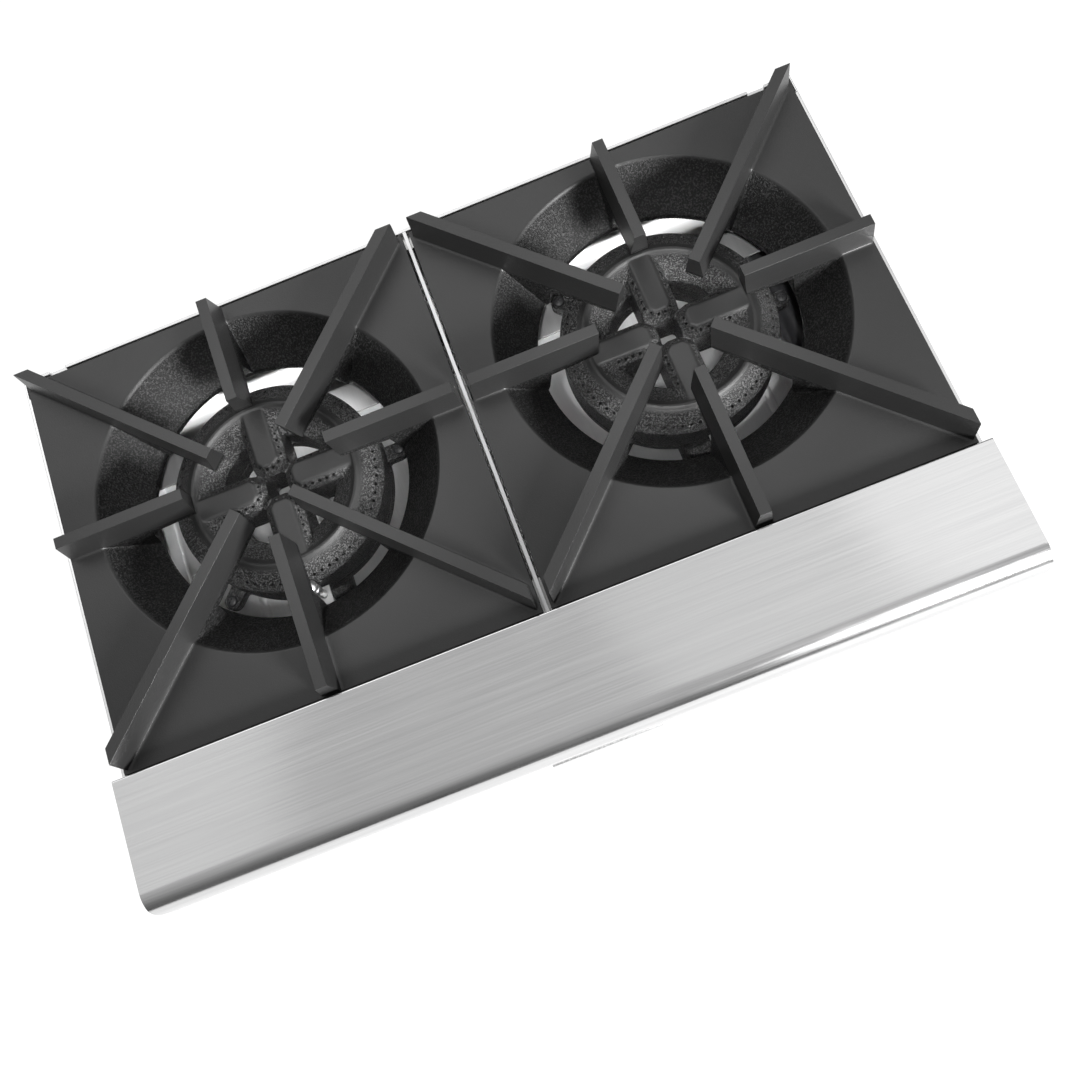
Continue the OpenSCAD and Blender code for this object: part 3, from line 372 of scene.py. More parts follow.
    @staticmethod
    def cast(piece: Object, voxel: float, passes: int, keep: float) -> Object:
        """Melts joined shapes into one casting with soft edges and fillets.

        Args:
            piece: Overlapping closed shapes in one object.
            voxel: The size of the remesh, which sets how soft the edges get.
            passes: How many smoothing passes follow.
            keep: The share of triangles that stays.

        Returns:
            The casting.
        """
        Bench.modify(piece, "REMESH", mode="VOXEL", voxel_size=voxel, use_smooth_shade=True)
        Bench.modify(piece, "SMOOTH", factor=0.5, iterations=passes)
        Bench.modify(piece, "DECIMATE", ratio=keep)
        Bench.pick(piece)
        bpy.ops.object.shade_smooth()
        return piece

    @staticmethod
    def tube(name: str, corners: Sequence[Point], radius: float, bend: float, steps: int = 7) -> Object:
        """Bends a round tube along a line of corners.

        Args:
            name: The new piece's name.
            corners: The line's ends and corners.
            radius: The tube's radius.
            bend: How far before a corner its bend starts.
            steps: How many stretches a bend has.

        Returns:
            The tube, closed at both ends.
        """
        path = [Vector(corners[0])]
        for before, corner, after in zip(corners, corners[1:], corners[2:]):
            at, back, ahead = Vector(corner), Vector(before) - Vector(corner), Vector(after) - Vector(corner)
            reach = min(bend, back.length * 0.49, ahead.length * 0.49)
            start, end = at + back.normalized() * reach, at + ahead.normalized() * reach
            for step in range(steps + 1):
                t = step / steps
                path.append(start * (1 - t) ** 2 + at * (2 * t * (1 - t)) + end * t ** 2)
        path.append(Vector(corners[-1]))
        piece = Bench.thread(name, [tuple(point) for point in path])
        Bench.done()
        bpy.ops.object.convert(target="CURVE")
        piece = bpy.context.object
        piece.data.bevel_depth = radius
        piece.data.bevel_resolution = 5
        piece.data.use_fill_caps = True
        bpy.ops.object.convert(target="MESH")
        piece = Bench.label(bpy.context.object, name)
        Bench.edit(piece)
        bpy.ops.mesh.remove_doubles(threshold=0.000001)
        Bench.seal()
        return Bench.smooth(piece, 45.0)

    @staticmethod
    def arc(middle: Pair, radius: float, start: float, end: float, steps: int) -> list[Pair]:
        """Lists the points of an arc in a plane, angles in degrees."""
        turns = [radians(start + (end - start) * i / steps) for i in range(steps + 1)]
        return [(middle[0] + radius * cos(t), middle[1] + radius * sin(t)) for t in turns]


class Signal:
    """A shader value on which Python's operators add Math nodes."""

    def __init__(self, tree: bpy.types.NodeTree, socket: bpy.types.NodeSocket) -> None:
        """Keeps the tree and the socket that gives the value."""
        self.tree = tree
        self.socket = socket

    def math(self, operation: str, other: "Signal | float") -> "Signal":
        """Adds one Math node.

        Args:
            operation: The node's operation.
            other: The other value, a signal or a number.

        Returns:
            The result.
        """
        node = self.tree.nodes.new("ShaderNodeMath")
        node.operation = operation
        self.tree.links.new(self.socket, node.inputs[0])
        if isinstance(other, Signal):
            self.tree.links.new(other.socket, node.inputs[1])
        else:
            node.inputs[1].default_value = other
        return Signal(self.tree, node.outputs[0])

    def __add__(self, other: "Signal | float") -> "Signal":
        """Adds."""
        return self.math("ADD", other)

    def __mul__(self, other: "Signal | float") -> "Signal":
        """Multiplies."""
        return self.math("MULTIPLY", other)

    def held(self) -> "Signal":
        """Limits the value to 0 to 1."""
        return self.math("MINIMUM", 1.0).math("MAXIMUM", 0.0)


class Recipe:
    """A material's node tree while it is being put together."""

    def __init__(self, name: str) -> None:
        """Starts a material with a shader and its output.

        Args:
            name: The material's name.
        """
        self.material = bpy.data.materials.new(name)
        self.material.use_nodes = True
        self.tree = self.material.node_tree
        self.tree.nodes.clear()
        self.shader = self.tree.nodes.new("ShaderNodeBsdfPrincipled")
        output = self.tree.nodes.new("ShaderNodeOutputMaterial")
        self.tree.links.new(self.shader.outputs["BSDF"], output.inputs["Surface"])
        self.place = self.node("ShaderNodeTexCoord").outputs["Object"]

    def node(self, kind: str, settings: dict[str, object] | None = None, **inputs: object) -> bpy.types.Node:
        """Adds a node.

        Args:
            kind: The node's type.
            settings: Properties to set first; "stops" are a colour ramp's places and greys or colours.
            inputs: Values or links by socket name, with spaces as underscores.

        Returns:
            The node.
        """
        node = self.tree.nodes.new(kind)
        for key, value in (settings or {}).items():
            if key == "stops":
                self.set_stops(node, value)
            else:
                setattr(node, key, value)
        for key, value in inputs.items():
            self.feed(node.inputs[key.replace("_", " ")], value)
        return node

    @staticmethod
    def set_stops(node: bpy.types.Node, stops: Sequence[tuple[float, object]]) -> None:
        """Sets a colour ramp's stops."""
        elements = node.color_ramp.elements
        while len(elements) < len(stops):
            elements.new(0.5)
        for element, (place, tone) in zip(elements, stops):
            element.position = place
            element.color = (*tone, 1.0) if isinstance(tone, tuple) else (tone, tone, tone, 1.0)

    def feed(self, socket: bpy.types.NodeSocket, value: object) -> None:
        """Links a socket or sets its value."""
        if isinstance(value, Signal):
            self.tree.links.new(value.socket, socket)
        elif isinstance(value, bpy.types.NodeSocket):
            self.tree.links.new(value, socket)
        elif isinstance(value, tuple) and len(value) == 3 and socket.type == "RGBA":
            socket.default_value = (*value, 1.0)
        else:
            socket.default_value = value

    def set(self, **inputs: object) -> None:
        """Sets or links the shader's own sockets by name."""
        for key, value in inputs.items():
            self.feed(self.shader.inputs[key.replace("_", " ")], value)

    def along(self, axis: str) -> Signal:
        """Gives the object's coordinate along one axis."""
        return Signal(self.tree, self.node("ShaderNodeSeparateXYZ", None, Vector=self.place).outputs[axis])

    def noise(self, scale: float, detail: float = 3.0, rough: float = 0.55,
              stretch: Point | None = None) -> Signal:
        """Gives a noise pattern between about 0.3 and 0.7.

        Args:
            scale: The pattern's cells per metre.
            detail: How many finer patterns it holds.
            rough: How strong they are.
            stretch: What the object's coordinates are multiplied by first, for each axis.

        Returns:
            The pattern.
        """
        place = self.place
        if stretch is not None:
            settings = {"vector_type": "POINT"}
            place = self.node("ShaderNodeMapping", settings, Vector=place, Scale=stretch).outputs[0]
        node = self.node("ShaderNodeTexNoise", None, Vector=place, Scale=scale, Detail=detail,
                         Roughness=rough)
        return Signal(self.tree, node.outputs["Fac"])

    def cells(self, scale: float) -> Signal:
        """Gives the distance to the nearest of scattered points."""
        node = self.node("ShaderNodeTexVoronoi", {"feature": "F1"}, Vector=self.place, Scale=scale)
        return Signal(self.tree, node.outputs["Distance"])

    def ramp(self, value: Signal, stops: Sequence[tuple[float, object]]) -> bpy.types.NodeSocket:
        """Maps a value through a colour ramp."""
        return self.node("ShaderNodeValToRGB", {"stops": stops}, Fac=value).outputs["Color"]

    def level(self, value: Signal, low: float, high: float, to_low: float, to_high: float) -> Signal:
        """Maps a value from one range to another, held at both ends."""
        node = self.node("ShaderNodeMapRange", {"clamp": True}, Value=value)
        for socket, number in zip(node.inputs[1:5], (low, high, to_low, to_high)):
            socket.default_value = number
        return Signal(self.tree, node.outputs[0])

    def blend(self, share: Signal, one: object, other: object) -> bpy.types.NodeSocket:
        """Mixes two colours."""
        node = self.node("ShaderNodeMix", {"data_type": "RGBA"})
        self.feed(node.inputs[0], share)
        self.feed(node.inputs[6], one)
        self.feed(node.inputs[7], other)
        return node.outputs[2]

    def bump(self, height: Signal, depth: float, strength: float) -> None:
        """Feeds a height, in metres times depth, to the shader's normal."""
        node = self.node("ShaderNodeBump", None, Height=height, Distance=depth, Strength=strength)
        self.feed(self.shader.inputs["Normal"], node.outputs["Normal"])


@dataclass(frozen=True)
class BrushedSheet:
    """Stainless sheet with fine brushing lines.

    Attributes:
        grain: Which way the lines run.
        tone: The metal's grey.
        rough: The middle roughness.
        streak: How strong the lines are.
        front_y: Where a part's front face starts, if that face takes the control panel's roughness and its
            darker grey, a painted shade.
        front_tone: That face's darker grey, painted shade where the key light falls full on it.
        front_rough: Its roughness.
        pull_tone: The grey of a pull in front of that face.
    """

    grain: Way
    tone: float
    rough: float
    streak: float = 1.0
    front_y: float | None = None
    front_tone: float = 0.45
    front_rough: float = 0.28
    pull_tone: float = 0.78

    def mix(self, name: str) -> Material:
        """Builds the material."""
        recipe = Recipe(name)
        along, across = 12.0, 1600.0
        fine = recipe.noise(1.0, detail=2.0, stretch=self._drawn(along, across))
        broad = recipe.noise(1.0, detail=3.0, stretch=self._drawn(along / 2, across / 5))
        smears = recipe.noise(7.0, detail=4.0)
        lines = fine * 0.6 + broad * 0.4
        light, dark = self.tone * (1 + 0.05 * self.streak), self.tone * (1 - 0.07 * self.streak)
        colour = recipe.ramp(lines, [(0.35, (dark, dark, dark * 1.005)), (0.65, light)])
        rough = recipe.level(lines, 0.3, 0.7, self.rough - 0.04, self.rough + 0.04)
        if self.front_y is not None:
            front, reach = self.front_y, recipe.along("Y")
            # Painted shade: the front face gets a much darker grey than the sheet, where the key light falls
            # full on it.
            ahead = recipe.level(reach, front - 0.0005, front, 1.0, 0.0)
            grey = recipe.level(reach, front - 0.004, front - 0.003, self.pull_tone, self.front_tone)
            colour = recipe.blend(ahead, colour, grey)
            rough = rough + ahead * (self.front_rough - self.rough)
        recipe.set(Base_Color=colour)
        recipe.set(Metallic=1.0, Roughness=(rough + recipe.level(smears, 0.35, 0.65, -0.03, 0.03)).held())
        recipe.bump(lines, 0.00003 * self.streak, 0.5)
        return recipe.material

    def _drawn(self, along: float, across: float) -> Point:
        """Gives a pattern's scale on each axis, low along the grain."""
        scale = [across] * 3
        scale[self.grain.value] = along
        return tuple(scale)


@dataclass(frozen=True)
class PlainSheet:
    """Unpolished mill-finish sheet and tube, slightly stained."""

    tone: float = 0.5
    rough: float = 0.38

    def mix(self, name: str) -> Material:
        """Builds the material."""
        recipe = Recipe(name)
        clouds = recipe.noise(14.0, detail=6.0, rough=0.6)
        grain = recipe.noise(500.0, detail=2.0)
        dark, light = self.tone * 0.8, self.tone * 1.12
        recipe.set(Base_Color=recipe.ramp(clouds, [(0.35, (dark, dark, dark * 0.98)), (0.65, light)]))
        rough = recipe.level(clouds, 0.35, 0.65, self.rough - 0.08, self.rough + 0.1)
        recipe.set(Metallic=1.0, Roughness=rough)
        recipe.bump(grain, 0.00003, 0.5)
        return recipe.material


@dataclass(frozen=True)
class CastIron:
    """Sand-cast iron with a dark heat-proof coat.

    Attributes:
        tone: The coat's grey.
        grain: The coarse grain's scale, as cells per metre.
        depth: How deep the coarse grain is.
        rough: The middle roughness.
        gloss: The coat's specular level.
        worn: The grey of the grain tops, partly a worn coat and partly painted glint of light on the sand
            grains.
        calm_z: The height above which the iron is smoother, in metres.
        calm: The share of the coarse grain that is left above it.
        bare: The lighter grey above it, painted light that makes the upper faces brighter than the bowl
            below.
        coat: The share of a smooth oil film above it.
        speckle: How much of that grey shows on the grain tops, which sets the painted glint's strength.
    """

    tone: float
    grain: float
    depth: float
    rough: float
    gloss: float
    worn: float
    calm_z: float
    calm: float
    bare: float
    coat: float
    speckle: float = 0.5

    def mix(self, name: str) -> Material:
        """Builds the material."""
        recipe = Recipe(name)
        sand = recipe.noise(self.grain, detail=3.0, rough=0.6)
        dust = recipe.noise(self.grain * 2.6, detail=2.0)
        swell = recipe.noise(22.0, detail=4.0)
        above = recipe.level(recipe.along("Z"), self.calm_z - 0.002, self.calm_z, 0.0, 1.0)
        coarse = recipe.level(above, 0.0, 1.0, 1.0, self.calm)
        lumps = recipe.cells(95.0)
        warts = recipe.level(lumps, 0.015, 0.1, 1.0, 0.0)
        relief = sand * coarse + dust * 0.12 + swell * 0.6 + warts * coarse * 0.35
        # Painted glint: the grain tops get a lighter grey, as if light sparkled on them, and partly a worn
        # coat.
        tops = recipe.level(sand, 0.5, 0.6, 0.0, 1.0) * coarse
        base = recipe.ramp(swell, [(0.35, self.tone * 0.8), (0.65, self.tone * 1.2)])
        speckled = recipe.blend(tops * self.speckle, base, (self.worn,) * 3)
        # Painted light: above calm_z the iron takes a lighter grey, so the upper faces read as lit beside the
        # dark bowl.
        recipe.set(Base_Color=recipe.blend(above, speckled, (self.bare,) * 3))
        rough = recipe.level(sand, 0.35, 0.68, 0.02, -0.2) * coarse + self.rough
        recipe.set(Metallic=0.0, Roughness=rough + recipe.level(swell, 0.35, 0.65, -0.03, 0.04))
        recipe.set(Specular_IOR_Level=self.gloss, Coat_Weight=above * self.coat, Coat_Roughness=0.4)
        recipe.bump(relief, self.depth, 1.0)
        return recipe.material


@dataclass(frozen=True)
class BrightMetal:
    """Smooth plated or machined metal with faint turning lines and wear.

    Attributes:
        colour: The metal's colour.
        rough: The middle roughness.
        worn: How much the clouds of wear change it.
    """

    colour: Point
    rough: float
    worn: float = 0.05

    def mix(self, name: str) -> Material:
        """Builds the material."""
        recipe = Recipe(name)
        clouds = recipe.noise(90.0, detail=4.0)
        fine = recipe.noise(1.0, detail=1.0, stretch=(1500.0, 1500.0, 300.0))
        dark = tuple(c * 0.93 for c in self.colour)
        recipe.set(Base_Color=recipe.ramp(clouds, [(0.35, dark), (0.62, self.colour)]))
        recipe.set(Metallic=1.0, Roughness=recipe.level(clouds, 0.3, 0.7, self.rough + self.worn, self.rough))
        recipe.bump(fine, 0.00001, 0.4)
        return recipe.material


@dataclass(frozen=True)
class SatinPaint:
    """Painted or moulded black surface with a fine even texture."""

    colour: Point
    rough: float
    texture: float = 1100.0

    def mix(self, name: str) -> Material:
        """Builds the material."""
        recipe = Recipe(name)
        fine = recipe.noise(self.texture, detail=2.0)
        clouds = recipe.noise(35.0, detail=3.0)
        light = tuple(c * 1.3 + 0.002 for c in self.colour)
        recipe.set(Base_Color=recipe.ramp(clouds, [(0.35, self.colour), (0.7, light)]))
        rough = recipe.level(clouds, 0.3, 0.7, self.rough - 0.06, self.rough + 0.08)
        recipe.set(Metallic=0.0, Roughness=rough)
        recipe.bump(fine, 0.00006, 0.6)
        return recipe.material


@dataclass(frozen=True)
class Viewpoint:
    """The camera that took the photograph, found from the grates' corners.

    Attributes:
        place: Where it stood, in the part's frame.
        pitch: How far it looked down, in degrees.
        yaw: How far it looked to the right of straight back.
        roll: How far the picture is turned.
        lens: Focal length over the picture's width.
    """

    place: Point = (0.0274, -0.2471, 0.9547)
    pitch: float = 75.06
    yaw: float = -5.08
    roll: float = 26.35
    lens: float = 1000.0 / 1080.0
    sensor: float = 36.0

    def build(self) -> None:
        """Adds the camera and makes it the scene's."""
        pitch, yaw, roll = radians(self.pitch), radians(self.yaw), radians(self.roll)
        ahead = Vector((sin(yaw) * cos(pitch), cos(yaw) * cos(pitch), -sin(pitch)))
        level = ahead.cross(Vector((0.0, 0.0, 1.0))).normalized()
        down = ahead.cross(level)
        right = level * cos(roll) + down * sin(roll)
        below = down * cos(roll) - level * sin(roll)
        data = bpy.data.cameras.new("photo_camera")
        data.sensor_width = self.sensor
        data.lens = self.sensor * self.lens
        data.clip_start = 0.01
        camera = bpy.data.objects.new("photo_camera", data)
        bpy.context.scene.collection.objects.link(camera)
        turned = Matrix((right, -below, -ahead)).transposed().to_4x4()
        camera.matrix_world = Matrix.Translation(Vector(self.place)) @ turned
        bpy.context.scene.camera = camera


@dataclass(frozen=True)
class SoftBox:
    """One rectangular area light.

    Attributes:
        name: The light's name.
        place: Its middle.
        aim: What it faces.
        size: Its width and height.
        power: Its power in watts.
    """

    name: str
    place: Point
    aim: Point
    size: Pair
    power: float

    def build(self) -> None:
        """Adds the light, facing its aim."""
        data = bpy.data.lights.new(self.name, "AREA")
        data.shape = "RECTANGLE"
        data.size, data.size_y = self.size
        data.energy = self.power
        _hang(self.name, data, self.place, self.aim)


@dataclass(frozen=True)
class BowlLamp:
    """One narrow lamp over a burner, which reaches down through the bowl to the tray.

    Attributes:
        name: The light's name.
        place: Where it hangs.
        aim: What it faces.
        cone: Its full beam angle in degrees.
        power: Its power in watts.
        radius: The size of its source.
    """

    name: str
    place: Point
    aim: Point
    cone: float = 8.6
    power: float = 80.0
    radius: float = 0.04

    def build(self) -> None:
        """Adds the light, facing its aim."""
        data = bpy.data.lights.new(self.name, "SPOT")
        data.spot_size = radians(self.cone)
        data.spot_blend = 0.25
        data.shadow_soft_size = self.radius
        data.energy = self.power
        _hang(self.name, data, self.place, self.aim)


def _hang(name: str, data: bpy.types.Light, place: Point, aim: Point) -> None:
    """Places a light and turns it towards a point.

    Args:
        name: The light object's name.
        data: The light.
        place: Where it hangs.
        aim: What it faces.
    """
    light = bpy.data.objects.new(name, data)
    way = Vector(aim) - Vector(place)
    light.matrix_world = Matrix.Translation(Vector(place)) @ way.to_track_quat("-Z", "Y").to_matrix().to_4x4()
    bpy.context.scene.collection.objects.link(light)


@dataclass
class Studio:
    """Pale floor, soft dome, soft boxes and the two lamps over the bowls.

    Attributes:
        floor_size: The floor's width.
        floor_glow: The floor's own light, which keeps it a pure pale ground.
        dome: The dome's brightness, from its rim to overhead.
        boxes: The soft boxes.
        lamps: The lamps over the bowls.
    """

    floor_size: float = 12.0
    floor_glow: float = 0.97
    dome: tuple[Pair, ...] = ((0.0, 0.08), (0.5, 0.22), (0.72, 0.42), (0.86, 0.54), (0.94, 0.58), (1.0, 0.6))
    boxes: tuple[SoftBox, ...] = (
        SoftBox("key_box", (1.25, -2.0, 1.35), (0.0, 0.0, 0.3), (0.6, 0.6), 205.0),
        SoftBox("left_ceiling_box", (-1.5, 0.1, 2.2), (-0.25, -0.17, 0.3), (1.2, 1.2), 1.3),
        SoftBox("right_ceiling_box", (1.2, 0.1, 2.3), (0.2, -0.17, 0.3), (1.2, 2.4), 2.4),
        SoftBox("right_ceiling_strip", (1.4, 0.1, 2.25), (0.25, -0.17, 0.3), (1.1, 1.2), 1.5),
        SoftBox("rear_ceiling_box", (-0.3, 1.65, 2.3), (0.0, 0.1, 0.3), (3.0, 1.6), 24.0),
        SoftBox("left_inner_strip", (-0.18, 0.150, 0.135), (-0.18, 0.1836, 0.146), (0.24, 0.010), 0.11),
        SoftBox("right_inner_strip", (0.16, 0.150, 0.135), (0.16, 0.1836, 0.146), (0.24, 0.010), 0.11),
    )
    lamps: tuple[BowlLamp, ...] = (
        BowlLamp("left_bowl_lamp", (0.206, -0.536, 1.63), (-0.1525, 0.0422, 0.28)),
        BowlLamp("right_bowl_lamp", (-0.098, -0.536, 1.63), (0.1525, 0.0422, 0.28)),
    )

    def build(self) -> None:
        """Makes the floor, the dome and the lights."""
        self._floor()
        self._dome()
        for light in (*self.boxes, *self.lamps):
            light.build()
        bpy.context.scene.view_settings.view_transform = "Standard"

    def _floor(self) -> None:
        """Lays the pale floor under the feet."""
        Bench.clear()
        bpy.ops.mesh.primitive_plane_add(size=self.floor_size, location=(0.0, 0.0, 0.0))
        floor = bpy.context.object
        floor.name = "studio_floor"
        recipe = Recipe("pale_floor")
        mottle = recipe.noise(3.0)
        recipe.set(Base_Color=recipe.ramp(mottle, [(0.3, 0.06), (0.7, 0.08)]), Roughness=0.8)
        recipe.set(Emission_Color=(1.0, 1.0, 1.0), Emission_Strength=self.floor_glow)
        floor.data.materials.append(recipe.material)

    def _dome(self) -> None:
        """Lights the scene from all round, darker towards the horizon."""
        world = bpy.data.worlds.new("soft_dome")
        world.use_nodes = True
        nodes, links = world.node_tree.nodes, world.node_tree.links
        nodes.clear()
        way = nodes.new("ShaderNodeTexCoord")
        split = nodes.new("ShaderNodeSeparateXYZ")
        ramp = nodes.new("ShaderNodeValToRGB")
        Recipe.set_stops(ramp, self.dome)
        back = nodes.new("ShaderNodeBackground")
        out = nodes.new("ShaderNodeOutputWorld")
        links.new(way.outputs["Generated"], split.inputs[0])
        links.new(split.outputs["Z"], ramp.inputs[0])
        links.new(ramp.outputs["Color"], back.inputs["Color"])
        links.new(back.outputs[0], out.inputs["Surface"])
        bpy.context.scene.world = world


@dataclass
class Finishes:
    """The object's materials, mixed once and then put on its pieces."""

    table: dict[Finish, Material] = field(default_factory=dict)

    def build(self) -> None:
        """Mixes every finish."""
        recipes: dict[Finish, object] = {
            Finish.LEDGE_SHEET: BrushedSheet(Way.ACROSS, tone=0.68, rough=0.17),
            Finish.SIDE_SHEET: BrushedSheet(Way.DEEP, tone=0.76, rough=0.34),
            # Painted shade: the control panel's sheet is a darker grey than the side and ledge sheets, where
            # the key light falls full on the front.
            Finish.PANEL_SHEET: BrushedSheet(Way.ACROSS, tone=0.55, rough=0.28),
            Finish.TRAY_SHEET: BrushedSheet(Way.DEEP, tone=0.85, rough=0.46, streak=0.5, front_y=-0.1688),
            Finish.REAR_SHEET: BrushedSheet(Way.ACROSS, tone=0.62, rough=0.42, streak=0.6),
            Finish.STRIP_SHEET: BrushedSheet(Way.DEEP, tone=0.52, rough=0.36, streak=0.6),
            Finish.DARK_STEEL: SatinPaint((0.014, 0.014, 0.015), rough=0.5),
            Finish.PLAIN_SHEET: PlainSheet(),
            Finish.TUBE_METAL: PlainSheet(tone=0.55, rough=0.32),
            Finish.GRATE_IRON: CastIron(tone=0.0035, grain=760.0, depth=0.001, rough=0.52, gloss=0.26,
                                        worn=0.055, calm_z=0.3078, calm=0.14, bare=0.012, coat=0.6),
            Finish.BURNER_IRON: CastIron(tone=0.004, grain=900.0, depth=0.0012, rough=0.45, gloss=0.4,
                                         worn=0.13, calm_z=0.2898, calm=0.08, bare=0.011, coat=0.2,
                                         speckle=0.65),
            Finish.BLACK_PIPE: SatinPaint((0.02, 0.02, 0.022), rough=0.35, texture=500.0),
            Finish.BRASS: BrightMetal((0.78, 0.58, 0.28), rough=0.26),
            Finish.BRIGHT_METAL: BrightMetal((0.82, 0.82, 0.83), rough=0.16),
            Finish.PILOT_METAL: BrightMetal((0.86, 0.86, 0.86), rough=0.3),
            Finish.LEG_METAL: BrightMetal((0.7, 0.7, 0.71), rough=0.2),
            Finish.KNOB_PLASTIC: SatinPaint((0.012, 0.012, 0.013), rough=0.36),
            Finish.MARK_PAINT: SatinPaint((0.8, 0.8, 0.78), rough=0.5),
        }
        self.table = {finish: recipe.mix(finish.label) for finish, recipe in recipes.items()}

    def put(self, piece: Object, *choices: Finish) -> Object:
        """Gives a piece its materials, in slot order."""
        piece.data.materials.clear()
        for choice in choices:
            piece.data.materials.append(self.table[choice])
        return piece


@dataclass(frozen=True)
class Layout:
    """Places that several sub-assemblies share, in metres.

    Attributes:
        half_w: Half the body's width.
        sheet: Thickness of the body's sheet.
        front_y: Front of the ledge's nose.
        ledge_rear_y: Rear edge of the ledge.
        panel_y: Face of the control panel.
        burner_y: The bowls' and burners' axis.
        grate_x: Middle of a grate.
        plate_z: Top of the grates' plates.
        ridge_z: Top of the burners.
        mixer_z: Axis of the knobs, valves and mixer tubes.
    """

    half_w: float = 0.305
    sheet: float = 0.0012
    front_y: float = -0.2148
    ledge_rear_y: float = -0.1238
    panel_y: float = -0.1682
    burner_y: float = 0.0422
    grate_x: float = 0.1525
    plate_z: float = 0.308
    ridge_z: float = 0.291
    mixer_z: float = 0.229


@dataclass
class Assembly:
    """A sub-assembly with the finishes and the layout it is built from."""

    finishes: Finishes
    layout: Layout

    def fit(self, piece: Object, body: str, nodes: Sequence[str], *choices: Finish) -> Object:
        """Finishes a piece and hangs it on its body.

        Args:
            piece: The modelled piece, in place.
            body: The body it moves with.
            nodes: The plain nodes that it stands for.
            choices: Its finishes, in slot order.

        Returns:
            The piece.
        """
        Bench.modify(piece, "WEIGHTED_NORMAL", keep_sharp=True)
        Bench.clear()
        self.finishes.put(piece, *choices)
        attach(piece, body)
        if nodes:
            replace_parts(piece, *nodes)
        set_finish(piece, choices[0].slot)
        LOG.info("%s on %s, %d faces", piece.name, body, len(piece.data.polygons))
        return piece

    def fit_both(self, piece: Object, name: str, body: str, node: str, height: float, finish: Finish) -> None:
        """Sets a piece over the left burner's axis and a copy over the right one's.

        Args:
            piece: The piece, modelled about the axis.
            name: Its name without the side.
            body: The body's name without the side.
            node: The plain node's name without the side.
            height: Where its origin goes.
            finish: Its finish.
        """
        twin = Bench.copy(piece, f"right_{name}")
        piece.name = f"left_{name}"
        for one, side in ((piece, Side.LEFT), (twin, Side.RIGHT)):
            Bench.shift(one, (side.value * self.layout.grate_x, self.layout.burner_y, height))
            self.fit(one, f"{side.word}_{body}", [f"{side.word}_{node}"], finish)


